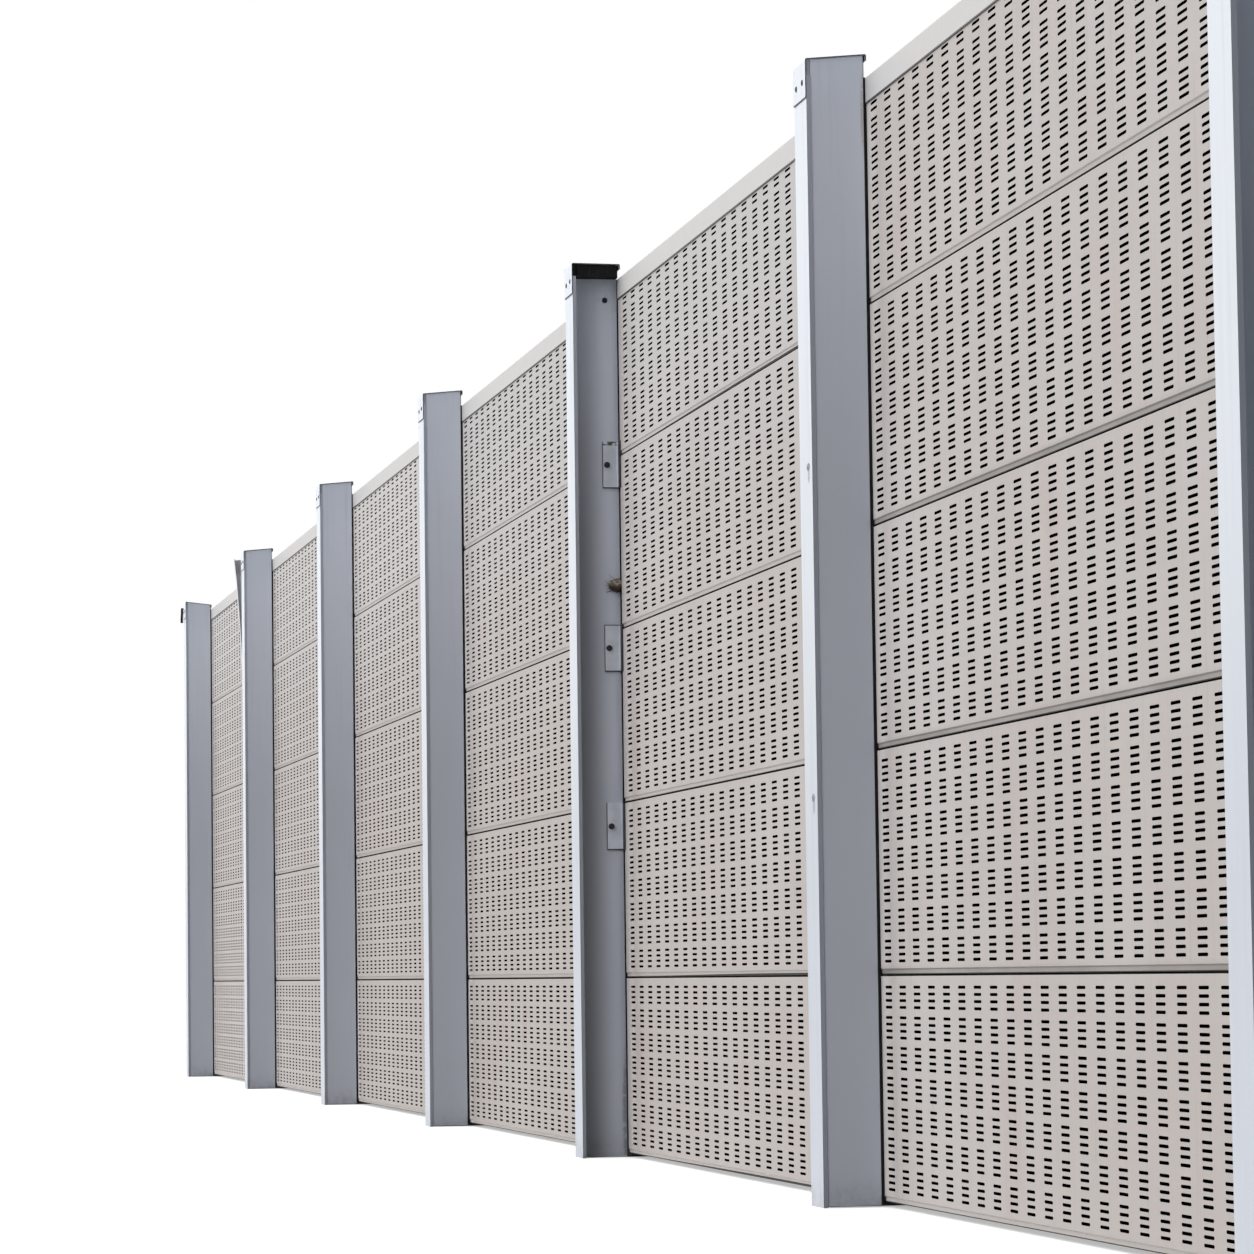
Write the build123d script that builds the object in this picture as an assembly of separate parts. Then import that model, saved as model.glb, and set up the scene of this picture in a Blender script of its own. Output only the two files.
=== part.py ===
from build123d import *
from math import degrees
import os

# Post-and-panel noise barrier: six bays of sound-absorbing cassette panels
# held between rolled I-section posts. Millimetres, +Z up, X along the wall,
# the perforated front faces -Y. The origin is the centre of the middle
# post's foot.

# ---- row ---------------------------------------------------------------
BAYS = 6
POST_SPACING = 3000.0      # post axis to post axis
PANEL_ROWS = 5             # panels stacked in a bay
ORIGIN_POST = 3            # index of the post whose foot holds the origin

# ---- posts: rolled I-section, flanges across the wall's thickness --------
POST_DEPTH = 240.0         # outer face to outer face of the flanges
POST_WIDTH = 120.0
POST_WEB = 6.2
POST_FLANGE = 9.8
POST_ROOT_R = 15.0
POST_ABOVE_CAPPING = 2.0   # the post's end stands just over the wall's capping
BOLT_HOLE = 17.0

# ---- panels: cassettes stacked on tongue and groove ----------------------
PANEL_MODULE = 500.0       # height from seam to seam
PANEL_THICKNESS = 85.0
PANEL_END_GAP = 22.0       # end of a panel to the post's web
PANEL_FOOT_GAP = 12.0      # lowest panel above the posts' feet
SEAM_GAP = 3.0             # open joint between two panels' faces
LIP_HEIGHT = 10.0          # stepped lip along a panel's lower front edge
LIP_SETBACK = 3.0
TONGUE_HEIGHT = 12.0
TONGUE_SHOULDER = 20.0     # flat shoulder in front of and behind the tongue
TONGUE_TAPER = 3.0
GROOVE_CLEARANCE = 1.5     # sideways, between tongue and groove
FOLD_R = 2.0               # bends of the cassette's front sheet

# ---- seal behind the panels -----------------------------------------------
SEAL_THICKNESS = 6.0
SEAL_WIDTH = 20.0
SEAL_FROM_PANEL_END = 8.9

# ---- capping over the top panels -------------------------------------------
CAPPING_SHEET = 2.0
CAPPING_COVERAGE = 47.0    # how far it hides the top panel's face
CAPPING_CLEARANCE = 0.5
CAPPING_BEND_R = 3.0
SEAL_BELOW_CAPPING = 2.0

# ---- cover plates closing the channels in front of the panels ---------------
COVER_SHEET = 2.5
COVER_INSET = 2.0          # outer face behind the flange's tip
COVER_RETURN = 25.0        # folded edges, measured to the outer face
COVER_BEND_R = 4.0
COVER_FOOT_GAP = 4.0
COVER_HEAD_GAP = 1.0       # plate's top end to the underside of the hood
GASKET_THICKNESS = 5.0
GASKET_WIDTH = 14.0

# ---- hoods on the post tops, packed with a foam block -----------------------
HOOD_SHEET = 2.0
HOOD_RISE = 36.0           # post's end to the underside of the hood's front
HOOD_PITCH = 13.0          # how much higher the hood's back is than its front
HOOD_PAST_COVER = 5.0      # how far it reaches back past the cover plates
HOOD_SIDE_LAP = 0.5        # sideways past the flange tips
HOOD_FLAP = 90.0           # front flap, riveted to the front flange
HOOD_REAR_LIP = 15.0
HOOD_BEND_R = 4.0
FOAM_CLEARANCE = 0.5       # foam block to the cover plates and the rear lip

# ---- clips that clamp the panels against the seal ---------------------------
CLIP_SHEET = 4.0
CLIP_HEIGHT = 135.0
CLIP_LEG_WEB = 48.0        # leg bolted to the web
CLIP_LEG_PANEL = 36.0      # leg on the panel's face
CLIP_BEND_R = 6.0
CLIP_BOLT_SETOUT = 35.0    # bolt axis in front of the panels' faces
# bolt axis below the top of each panel that has one; rows count from 0
CLIP_DROP = {1: 66.0, 2: 54.0, 3: 24.0, 4: 45.0}

# ---- what is missing or damaged -------------------------------------------
UNCOVERED_POST = 4         # its right-hand cover plate is gone
LOST_CLIP_ROW = 4          # its topmost clip is gone, the bolt hole is open
LOOSE_POST = 1             # its left-hand cover plate peels away at the top
PEEL_START = 1020.0        # height where the plate leaves the post
PEEL_AT_TOP = 160.0        # how far its top stands off along the wall
PEEL_CLEAR = 1700.0        # height where it is past the flange's tip
PEEL_FORWARD = 30.0        # how far its top leans out in front from there
SUNK_HOODS = {0: -16.0, 4: -1.5}  # pitch of the hoods that sank at the back

# ---- derived places ----------------------------------------------------------
FLANGE_FRONT_IN = -POST_DEPTH / 2 + POST_FLANGE
FLANGE_REAR_IN = POST_DEPTH / 2 - POST_FLANGE
PANEL_BACK = FLANGE_REAR_IN - SEAL_THICKNESS
PANEL_FRONT = PANEL_BACK - PANEL_THICKNESS
PANEL_END = POST_WEB / 2 + PANEL_END_GAP
PANEL_BODY = PANEL_MODULE - SEAM_GAP
TONGUE_IN_GROOVE = TONGUE_HEIGHT - SEAM_GAP
WALL_TOP = PANEL_FOOT_GAP + PANEL_ROWS * PANEL_MODULE - SEAM_GAP
CAPPING_UNDERSIDE = WALL_TOP + TONGUE_HEIGHT
CAPPING_TOP = CAPPING_UNDERSIDE + CAPPING_SHEET
CAPPING_FOOT = WALL_TOP - CAPPING_COVERAGE
POST_TOP = CAPPING_TOP + POST_ABOVE_CAPPING
HOOD_UNDERSIDE = POST_TOP + HOOD_RISE
COVER_FACE = POST_WIDTH / 2 - COVER_INSET
COVER_TOP = HOOD_UNDERSIDE - COVER_HEAD_GAP
GASKET_BACK = PANEL_FRONT - GASKET_THICKNESS
HOOD_BACK = GASKET_BACK + HOOD_PAST_COVER


def post_x(index):
    return (index - ORIGIN_POST) * POST_SPACING


def post_section():
    """I-section in plan with root fillets between web and flanges."""
    with BuildSketch() as s:
        Rectangle(POST_WIDTH, POST_DEPTH)
        side = (POST_WIDTH - POST_WEB) / 2
        for sign in (-1, 1):
            with Locations((sign * (POST_WEB + side) / 2, 0)):
                Rectangle(side, POST_DEPTH - 2 * POST_FLANGE, mode=Mode.SUBTRACT)
        roots = s.vertices().filter_by(
            lambda v: abs(abs(v.X) - POST_WEB / 2) < 1e-6)
        fillet(roots, POST_ROOT_R)
    return s.sketch


def clip_height(row):
    """Height of a clip's bolt: a set drop below the top of its panel."""
    return PANEL_FOOT_GAP + (row + 1) * PANEL_MODULE - SEAM_GAP - CLIP_DROP[row]


def make_post(index):
    body = extrude(post_section(), POST_TOP)
    if index == UNCOVERED_POST:
        for row in CLIP_DROP:
            body -= Pos(0, PANEL_FRONT - CLIP_BOLT_SETOUT, clip_height(row)) * Rot(
                0, 90, 0) * Cylinder(BOLT_HOLE / 2, 4 * POST_WEB)
    return Pos(post_x(index), 0, 0) * body


def panel_section():
    """Cassette end view (Y to the right, Z up): stepped front lip, tapered
    tongue on top and the groove that seats on the tongue below."""
    t0 = PANEL_FRONT + TONGUE_SHOULDER
    t1 = PANEL_BACK - TONGUE_SHOULDER
    g0, g1 = t0 - GROOVE_CLEARANCE, t1 + GROOVE_CLEARANCE
    with BuildSketch() as s:
        with BuildLine():
            Polyline(
                (PANEL_FRONT + LIP_SETBACK, 0),
                (PANEL_FRONT + LIP_SETBACK, LIP_HEIGHT),
                (PANEL_FRONT, LIP_HEIGHT + LIP_SETBACK),
                (PANEL_FRONT, PANEL_BODY),
                (t0, PANEL_BODY),
                (t0 + TONGUE_TAPER, PANEL_BODY + TONGUE_HEIGHT),
                (t1 - TONGUE_TAPER, PANEL_BODY + TONGUE_HEIGHT),
                (t1, PANEL_BODY),
                (PANEL_BACK, PANEL_BODY),
                (PANEL_BACK, 0),
                (g1, 0),
                (g1 - TONGUE_TAPER, TONGUE_IN_GROOVE),
                (g0 + TONGUE_TAPER, TONGUE_IN_GROOVE),
                (g0, 0),
                close=True)
        make_face()
        front = s.vertices().filter_by(
            lambda v: v.X < PANEL_FRONT + 1e-6 or (v.X > PANEL_BACK - 1e-6))
        fillet(front, FOLD_R)
    return s.sketch


def make_panel(bay, row):
    x0 = post_x(bay) + PANEL_END
    x1 = post_x(bay + 1) - PANEL_END
    plane = Plane(origin=(x0, 0, PANEL_FOOT_GAP + row * PANEL_MODULE),
                  x_dir=(0, 1, 0), z_dir=(1, 0, 0))
    return extrude(plane * panel_section(), x1 - x0)


def make_capping(bay):
    """Folded channel turned upside down over the top panel's tongue."""
    x0 = post_x(bay) + PANEL_END
    x1 = post_x(bay + 1) - PANEL_END
    front = PANEL_FRONT - CAPPING_CLEARANCE - CAPPING_SHEET
    back = PANEL_BACK + CAPPING_CLEARANCE + CAPPING_SHEET
    outer = [(front, CAPPING_FOOT), (front, CAPPING_TOP),
             (back, CAPPING_TOP), (back, CAPPING_FOOT)]
    plane = Plane(origin=(x0, 0, 0), x_dir=(0, 1, 0), z_dir=(1, 0, 0))
    return extrude(plane * channel_face(outer, CAPPING_SHEET, CAPPING_BEND_R), x1 - x0)


def channel_face(outer, sheet, bend_r):
    """Face of a channel folded from sheet: three straight runs with round
    bends, its outer side along the four points given clockwise."""
    (ax, ay), (bx, by), (cx, cy), (dx, dy) = outer
    with BuildSketch() as s:
        with BuildLine():
            Polyline(outer[0], outer[1], outer[2], outer[3], close=True)
        make_face()
        fillet(s.vertices().filter_by(
            lambda v: min(abs(v.X - bx) + abs(v.Y - by),
                          abs(v.X - cx) + abs(v.Y - cy)) < 1e-6), bend_r)
        with BuildLine():
            Polyline((ax + sheet, ay - sheet), (bx + sheet, by - sheet),
                     (cx - sheet, cy - sheet), (dx - sheet, dy - sheet), close=True)
        make_face(mode=Mode.SUBTRACT)
    return s.sketch


def cover_section(side):
    """Cover plate in plan: flat face near the flange tip and two folded
    returns, one on the flange's inner face and one on the gasket."""
    outer = Rectangle(COVER_RETURN, GASKET_BACK - FLANGE_FRONT_IN,
                      align=(Align.MAX, Align.MIN))
    outer = fillet(outer.vertices().group_by(Axis.X)[-1], COVER_BEND_R)
    inner = Pos(-COVER_SHEET, COVER_SHEET) * Rectangle(
        COVER_RETURN, GASKET_BACK - FLANGE_FRONT_IN - 2 * COVER_SHEET,
        align=(Align.MAX, Align.MIN))
    inner = fillet(inner.vertices().group_by(Axis.X)[-1], COVER_BEND_R - COVER_SHEET)
    face = Pos(COVER_FACE, FLANGE_FRONT_IN) * (outer - inner)
    return face if side > 0 else mirror(face, about=Plane.YZ)


def hood_pitch(index):
    return SUNK_HOODS.get(index, HOOD_PITCH)


def above_hood(index, clearance):
    """The space above the sloping underside of a post's hood, less a
    clearance; it cuts off what stands below the hood."""
    front, back = -POST_DEPTH / 2, HOOD_BACK - HOOD_SHEET
    low = HOOD_UNDERSIDE - clearance
    high = low + POST_WIDTH
    plane = Plane(origin=(-POST_WIDTH, 0, 0), x_dir=(0, 1, 0), z_dir=(1, 0, 0))
    face = make_face(Polyline((front, low), (back, low + hood_pitch(index)),
                              (back, high), (front, high), close=True))
    return extrude(plane * face, 2 * POST_WIDTH)


def make_cover(index, side):
    plate = extrude(cover_section(side), COVER_TOP + abs(hood_pitch(index)) - COVER_FOOT_GAP)
    plate = Pos(0, 0, COVER_FOOT_GAP) * plate - above_hood(index, COVER_HEAD_GAP)
    return Pos(post_x(index), 0, 0) * plate


def peel_bend(face, away, forward, length):
    """Carries the plate's section along an arc that starts straight up and
    ends the given distances away from the post and forward. Returns the bent
    length, its axis and its angle."""
    reach = (away ** 2 + forward ** 2) ** 0.5
    radius = length ** 2 / (2 * reach)
    toward = Vector(-away / reach, -forward / reach, 0)
    centre = Vector(-COVER_FACE, 0, PEEL_START) + toward * radius
    axis = Axis(centre, (-toward.Y, toward.X, 0))
    turn = degrees(length / radius)
    return revolve(face, axis, turn), axis, turn


def make_loose_cover():
    """The plate follows the post up to PEEL_START, bends away along the wall
    in a long arc, and once it is past the flange's tip bends forward too. Each
    run is tangent to the one below."""
    whole = COVER_TOP - PEEL_START
    lower = PEEL_CLEAR - PEEL_START
    upper = COVER_TOP - PEEL_CLEAR
    face = cover_section(-1)
    straight = Pos(0, 0, COVER_FOOT_GAP) * extrude(face, PEEL_START - COVER_FOOT_GAP)
    face = Pos(0, 0, PEEL_START) * face
    plate, axis, turn = peel_bend(face, PEEL_AT_TOP * (lower / whole) ** 2, 0, lower)
    tip, _, _ = peel_bend(face, PEEL_AT_TOP * (upper / whole) ** 2, PEEL_FORWARD, upper)
    return Pos(post_x(LOOSE_POST), 0, 0) * (straight + plate + tip.rotate(axis, turn))


def make_gasket(index, side, top):
    """Strip between a cover plate's return and the panels, thinner where the
    capping's leg comes between them."""
    leg = PANEL_FRONT - CAPPING_CLEARANCE - CAPPING_SHEET
    lower_top = min(top, CAPPING_FOOT)
    with BuildPart() as b:
        with Locations((0, GASKET_BACK, PANEL_FOOT_GAP)):
            Box(GASKET_WIDTH, GASKET_THICKNESS, lower_top - PANEL_FOOT_GAP,
                align=(Align.MAX, Align.MIN, Align.MIN))
        if top > CAPPING_FOOT:
            with Locations((0, GASKET_BACK, CAPPING_FOOT)):
                Box(GASKET_WIDTH, leg - GASKET_BACK, top - CAPPING_FOOT,
                    align=(Align.MAX, Align.MIN, Align.MIN))
    strip = Pos(COVER_FACE, 0, 0) * b.part
    if side < 0:
        strip = mirror(strip, about=Plane.YZ)
    return Pos(post_x(index), 0, 0) * strip


def make_seal(index, side):
    x = side * (PANEL_END + SEAL_FROM_PANEL_END + SEAL_WIDTH / 2)
    top = CAPPING_FOOT - SEAL_BELOW_CAPPING
    return Pos(post_x(index) + x, PANEL_BACK, PANEL_FOOT_GAP) * Box(
        SEAL_WIDTH, SEAL_THICKNESS, top - PANEL_FOOT_GAP,
        align=(Align.CENTER, Align.MIN, Align.MIN))


def make_hood(index):
    """Folded cap over the post's end and the cover plates: a sloping top plate
    with a long flap on the front flange and a short lip behind."""
    half_x = POST_WIDTH / 2 + HOOD_SIDE_LAP
    top = HOOD_UNDERSIDE + HOOD_SHEET
    back_top = top + hood_pitch(index)
    outer = [(-POST_DEPTH / 2 - HOOD_SHEET, top - HOOD_FLAP),
             (-POST_DEPTH / 2 - HOOD_SHEET, top),
             (HOOD_BACK, back_top), (HOOD_BACK, back_top - HOOD_REAR_LIP)]
    plane = Plane(origin=(post_x(index) - half_x, 0, 0), x_dir=(0, 1, 0), z_dir=(1, 0, 0))
    return extrude(plane * channel_face(outer, HOOD_SHEET, HOOD_BEND_R), 2 * half_x)


def make_foam(index):
    """Foam block that fills the hood: as wide as the post in front of the
    cover plates, and between them narrower where it passes their returns."""
    gap = FOAM_CLEARANCE
    front = -POST_DEPTH / 2
    back = HOOD_BACK - HOOD_SHEET - gap
    wide = COVER_FACE - COVER_SHEET - gap
    narrow = COVER_FACE - COVER_RETURN - gap
    wide_front = FLANGE_FRONT_IN + COVER_SHEET + gap
    wide_back = GASKET_BACK - COVER_SHEET - gap
    with BuildSketch() as s:
        with Locations((0, (front + back) / 2)):
            Rectangle(2 * narrow, back - front)
        with Locations((0, (wide_front + wide_back) / 2)):
            Rectangle(2 * wide, wide_back - wide_front)
        with Locations((0, (front + FLANGE_FRONT_IN - gap) / 2)):
            Rectangle(2 * COVER_FACE, FLANGE_FRONT_IN - gap - front)
    block = Pos(0, 0, POST_TOP) * extrude(s.sketch, HOOD_RISE + abs(hood_pitch(index)))
    return Pos(post_x(index), 0, 0) * (block - above_hood(index, 0))


def make_clip(index, row):
    """Bent angle: one leg bolted to the web, the other on the panel's face."""
    z = clip_height(row) - CLIP_HEIGHT / 2
    x = POST_WEB / 2
    corner = Rectangle(CLIP_LEG_PANEL, CLIP_LEG_WEB, align=(Align.MIN, Align.MAX))
    hollow = Pos(CLIP_SHEET, -CLIP_SHEET) * Rectangle(
        CLIP_LEG_PANEL, CLIP_LEG_WEB, align=(Align.MIN, Align.MAX))
    hollow = fillet(hollow.vertices().sort_by(lambda v: v.X - v.Y)[0],
                    CLIP_BEND_R - CLIP_SHEET)
    corner = fillet(corner.vertices().sort_by(lambda v: v.X - v.Y)[0], CLIP_BEND_R)
    clip = extrude(Pos(x, PANEL_FRONT) * (corner - hollow), CLIP_HEIGHT)
    clip = Pos(0, 0, z) * clip
    clip -= Pos(x, PANEL_FRONT - CLIP_BOLT_SETOUT, clip_height(row)) * Rot(
        0, 90, 0) * Cylinder(BOLT_HOLE / 2, 4 * CLIP_SHEET)
    return Pos(post_x(index), 0, 0) * clip


def build():
    parts = {}
    for i in range(BAYS + 1):
        parts[f"post_{i + 1}"] = make_post(i)
    for bay in range(BAYS):
        for row in range(PANEL_ROWS):
            parts[f"panel_bay{bay + 1}_row{row + 1}"] = make_panel(bay, row)
    parts["wall_cappings"] = [make_capping(bay) for bay in range(BAYS)]
    parts["post_hoods"] = [make_hood(i) for i in range(BAYS + 1)]
    parts["cover_plates_right"] = [make_cover(i, 1) for i in range(BAYS)
                                   if i != UNCOVERED_POST]
    parts["cover_plates_left"] = [make_cover(i, -1) for i in range(1, BAYS + 1)
                                  if i != LOOSE_POST]
    parts["loose_cover_plate"] = make_loose_cover()
    gaskets = [make_gasket(i, 1, CAPPING_TOP) for i in range(BAYS)
               if i != UNCOVERED_POST]
    gaskets += [make_gasket(i, -1, PEEL_START if i == LOOSE_POST else CAPPING_TOP)
                for i in range(1, BAYS + 1)]
    gaskets += [make_foam(i) for i in range(BAYS + 1)]
    parts["cover_gaskets"] = gaskets
    parts["panel_seals"] = [make_seal(i, side) for i in range(BAYS + 1)
                            for side in (-1, 1)
                            if 0 <= i + (side - 1) // 2 < BAYS]
    parts["panel_clips"] = [make_clip(UNCOVERED_POST, row) for row in CLIP_DROP
                            if row != LOST_CLIP_ROW]
    return parts


os.makedirs("parts", exist_ok=True)
for name, shape in build().items():
    if isinstance(shape, list):
        shape = Compound(children=shape) if len(shape) > 1 else shape[0]
    export_step(shape, f"parts/{name}.step")
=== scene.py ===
"""Looks for a post-and-panel noise barrier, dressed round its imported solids.

The wall runs along X, its perforated front faces -Y and Z is up, in metres.
Posts, cover plates, cappings, hoods, clips, gaskets and seals keep their solid
shapes and get a finish. Each panel is replaced by a cassette with a really
slotted front sheet, and the rivets, bolts and debris are added.
"""

from __future__ import annotations

import logging
import math
from dataclasses import dataclass, field
from enum import Enum

import bmesh
import bpy
import numpy as np
from mathutils import Matrix, Vector

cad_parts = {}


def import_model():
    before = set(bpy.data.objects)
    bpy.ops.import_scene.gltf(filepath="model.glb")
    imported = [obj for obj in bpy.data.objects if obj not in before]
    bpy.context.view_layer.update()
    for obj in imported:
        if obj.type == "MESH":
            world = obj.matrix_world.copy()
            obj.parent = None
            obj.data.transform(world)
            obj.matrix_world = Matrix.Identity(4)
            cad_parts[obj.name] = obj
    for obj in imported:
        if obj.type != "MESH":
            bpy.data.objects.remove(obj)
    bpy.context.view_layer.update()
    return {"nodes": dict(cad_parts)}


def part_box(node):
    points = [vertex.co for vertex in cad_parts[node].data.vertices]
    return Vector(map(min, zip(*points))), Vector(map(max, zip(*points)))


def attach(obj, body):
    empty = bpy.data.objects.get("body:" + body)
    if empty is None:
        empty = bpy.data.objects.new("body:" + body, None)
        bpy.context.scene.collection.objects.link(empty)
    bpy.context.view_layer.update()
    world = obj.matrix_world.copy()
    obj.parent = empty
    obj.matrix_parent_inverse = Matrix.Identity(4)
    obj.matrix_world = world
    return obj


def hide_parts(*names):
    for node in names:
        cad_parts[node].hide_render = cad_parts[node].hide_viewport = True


LOG = logging.getLogger("noise_barrier")
Colour = tuple[float, float, float]
Triple = tuple[float, float, float]  # a place, a direction or a scale, along X, Y and Z
Span = tuple[float, float]  # where a ramp begins and where it is done
POSTS = 7
BAYS = 6
WELD = 1e-6  # points nearer than this, in metres, count as one
SOFT_EDGE = 0.55  # share of a spot's radius up to which it keeps its full strength


class Blend(Enum):
    """How one colour is laid over another."""

    MIX = "MIX"
    MULTIPLY = "MULTIPLY"


class Tree:
    """A node tree, with short names for the nodes that do sums and mix."""

    def __init__(self, tree: bpy.types.NodeTree) -> None:
        """Takes up a tree.

        Args:
            tree: the tree that new nodes go into.
        """
        self.nodes = tree.nodes
        self.links = tree.links

    def feed(self, socket: bpy.types.NodeSocket, value: object) -> None:
        """Links a socket to an output, or sets it to a plain value.

        Args:
            socket: the input that is filled.
            value: an output socket, a number or a colour.
        """
        if isinstance(value, bpy.types.NodeSocket):
            self.links.new(value, socket)
        elif isinstance(value, tuple) and socket.type == "RGBA":
            socket.default_value = (*value, 1.0)
        else:
            socket.default_value = value

    def math(self, operation: str, *values: object, clamp: bool = False) -> bpy.types.NodeSocket:
        """One Math node.

        Args:
            operation: what it works out, by Blender's own name.
            values: its inputs, each a socket or a number.
            clamp: whether the result is kept between 0 and 1.

        Returns:
            The result's socket.
        """
        node = self.nodes.new("ShaderNodeMath")
        node.operation = operation
        node.use_clamp = clamp
        for socket, value in zip(node.inputs, values):
            self.feed(socket, value)
        return node.outputs[0]

    def times(self, first: object, *others: object) -> bpy.types.NodeSocket:
        """The product of two values or more.

        Args:
            first: a socket or a number.
            others: what it is multiplied by, one after the other.

        Returns:
            The product's socket.
        """
        product = first
        for other in others:
            product = self.math("MULTIPLY", product, other)
        return product

    def above(self, value: object, limit: object) -> bpy.types.NodeSocket:
        """1 where the value is greater than the limit, and 0 elsewhere."""
        return self.math("GREATER_THAN", value, limit)

    def below(self, value: object, limit: object) -> bpy.types.NodeSocket:
        """1 where the value is less than the limit, and 0 elsewhere."""
        return self.math("LESS_THAN", value, limit)

    def either(self, one: object, other: object) -> bpy.types.NodeSocket:
        """The greater of two values, so a mask where either of two is set."""
        return self.math("MAXIMUM", one, other)

    def distance(self, value: object, middle: float) -> bpy.types.NodeSocket:
        """How far a value is from a middle one, to either side."""
        return self.math("ABSOLUTE", self.math("SUBTRACT", value, middle))

    def lay(self, amount: object, under: object, over: object,
            blend: Blend = Blend.MIX) -> bpy.types.NodeSocket:
        """Lays one colour over another.

        Args:
            amount: 0 keeps the lower colour, 1 takes the upper one.
            under: the lower colour.
            over: the upper colour.
            blend: how they meet.

        Returns:
            The colour socket.
        """
        node = self.nodes.new("ShaderNodeMix")
        node.data_type = "RGBA"
        node.blend_type = blend.value
        self.feed(node.inputs[0], amount)
        self.feed(node.inputs[6], under)
        self.feed(node.inputs[7], over)
        return node.outputs[2]

    def seen(self) -> bpy.types.NodeSocket:
        """Tells the rays that show a thing from those that only light one.

        Returns:
            1 for rays of the camera, of mirrors and of glass, and 0 for others.
        """
        ray = self.nodes.new("ShaderNodeLightPath").outputs
        bent = self.either(ray["Is Glossy Ray"], ray["Is Transmission Ray"])
        return self.either(ray["Is Camera Ray"], bent)


class Graph(Tree):
    """The node tree of one material, whose patterns follow the object's
    coordinates: along the wall, across it and up."""

    def __init__(self, name: str) -> None:
        """Makes a material with one shader, and reads the coordinates.

        Args:
            name: the material's name.
        """
        self.material = bpy.data.materials.new(name)
        self.material.use_nodes = True
        super().__init__(self.material.node_tree)
        self.shader = self.nodes["Principled BSDF"]
        self.place = self.nodes.new("ShaderNodeTexCoord").outputs["Object"]
        split = self.nodes.new("ShaderNodeSeparateXYZ")
        self.links.new(self.place, split.inputs[0])
        self.along, self.across, self.height = split.outputs

    def stretched(self, scale: Triple) -> bpy.types.NodeSocket:
        """Object coordinates with each axis scaled by itself.

        Args:
            scale: the scale of X, Y and Z.

        Returns:
            The scaled vector's socket.
        """
        node = self.nodes.new("ShaderNodeMapping")
        self.feed(node.inputs["Vector"], self.place)
        node.inputs["Scale"].default_value = scale
        return node.outputs[0]

    def noise(self, vector: bpy.types.NodeSocket, scale: float, detail: float = 3.0,
              roughness: float = 0.55) -> bpy.types.NodeSocket:
        """A noise value from 0 to 1.

        Args:
            vector: where it is read.
            scale: features to the metre, roughly.
            detail: octaves.
            roughness: weight of the finer octaves.

        Returns:
            The noise's value socket.
        """
        node = self.nodes.new("ShaderNodeTexNoise")
        self.feed(node.inputs["Vector"], vector)
        node.inputs["Scale"].default_value = scale
        node.inputs["Detail"].default_value = detail
        node.inputs["Roughness"].default_value = roughness
        return node.outputs[0]

    def ramp(self, value: bpy.types.NodeSocket, start: float, end: float,
             low: float = 0.0, high: float = 1.0) -> bpy.types.NodeSocket:
        """A smooth step from one number to another.

        Args:
            value: what the step follows.
            start: the value at which it begins.
            end: the value at which it is done, more or less than the start.
            low: the result up to the start.
            high: the result from the end on.

        Returns:
            The result's socket.
        """
        node = self.nodes.new("ShaderNodeMapRange")
        node.interpolation_type = "SMOOTHSTEP"
        for socket, number in zip(node.inputs, (value, start, end, low, high)):
            self.feed(socket, number)
        return node.outputs[0]

    def axis(self, vector: bpy.types.NodeSocket, index: int) -> bpy.types.NodeSocket:
        """One coordinate of a vector.

        Args:
            vector: the vector's socket.
            index: 0 to 2 for X to Z.

        Returns:
            The coordinate's socket.
        """
        node = self.nodes.new("ShaderNodeSeparateXYZ")
        self.feed(node.inputs[0], vector)
        return node.outputs[index]

    def near(self, point: Triple, radius: float, squash: Triple) -> bpy.types.NodeSocket:
        """A soft spot that is 1 round a point and 0 beyond a radius.

        Args:
            point: the spot's middle, in metres.
            radius: where it has faded out.
            squash: scale of each axis, to make it long or flat.

        Returns:
            The spot's value socket.
        """
        node = self.nodes.new("ShaderNodeVectorMath")
        node.operation = "DISTANCE"
        self.feed(node.inputs[0], self.stretched(squash))
        node.inputs[1].default_value = tuple(p * s for p, s in zip(point, squash))
        return self.ramp(node.outputs["Value"], radius, radius * SOFT_EDGE)

    def bump(self, height: bpy.types.NodeSocket, depth: float) -> None:
        """Raises the shaded surface by a height field.

        Args:
            height: the field, from 0 to 1.
            depth: how high 1 is, in metres.
        """
        node = self.nodes.new("ShaderNodeBump")
        node.inputs["Strength"].default_value = 1.0
        node.inputs["Distance"].default_value = depth
        self.feed(node.inputs["Height"], height)
        self.links.new(node.outputs[0], self.shader.inputs["Normal"])

    def surface(self, colour: object, rough: object, gloss: float = 0.5, metal: float = 0.0) -> None:
        """Sets what the surface is like.

        Args:
            colour: its colour, or a colour socket.
            rough: its roughness, or a value socket.
            gloss: how strongly it reflects, the same all over.
            metal: how far it is bare metal, the same all over.
        """
        self.feed(self.shader.inputs["Base Color"], colour)
        self.feed(self.shader.inputs["Roughness"], rough)
        self.shader.inputs["Specular IOR Level"].default_value = gloss
        self.shader.inputs["Metallic"].default_value = metal


@dataclass(frozen=True)
class Mark:
    """A soft-edged spot of another colour at one place on a surface."""

    point: Triple
    radius: float
    colour: Colour
    amount: float = 1.0
    squash: Triple = (1.0, 1.0, 1.0)
    ragged: float = 420.0

    def lay_on(self, g: Graph, colour: bpy.types.NodeSocket) -> bpy.types.NodeSocket:
        """Lays the spot over a colour, with its edge broken up by noise.

        Args:
            g: the material's node tree.
            colour: the colour below.

        Returns:
            The colour socket.
        """
        rough_edge = g.ramp(g.noise(g.place, self.ragged, 3.0, 0.7), 0.30, 0.52)
        spot = g.times(g.near(self.point, self.radius, self.squash), rough_edge, self.amount)
        return g.lay(spot, colour, self.colour)


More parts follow.
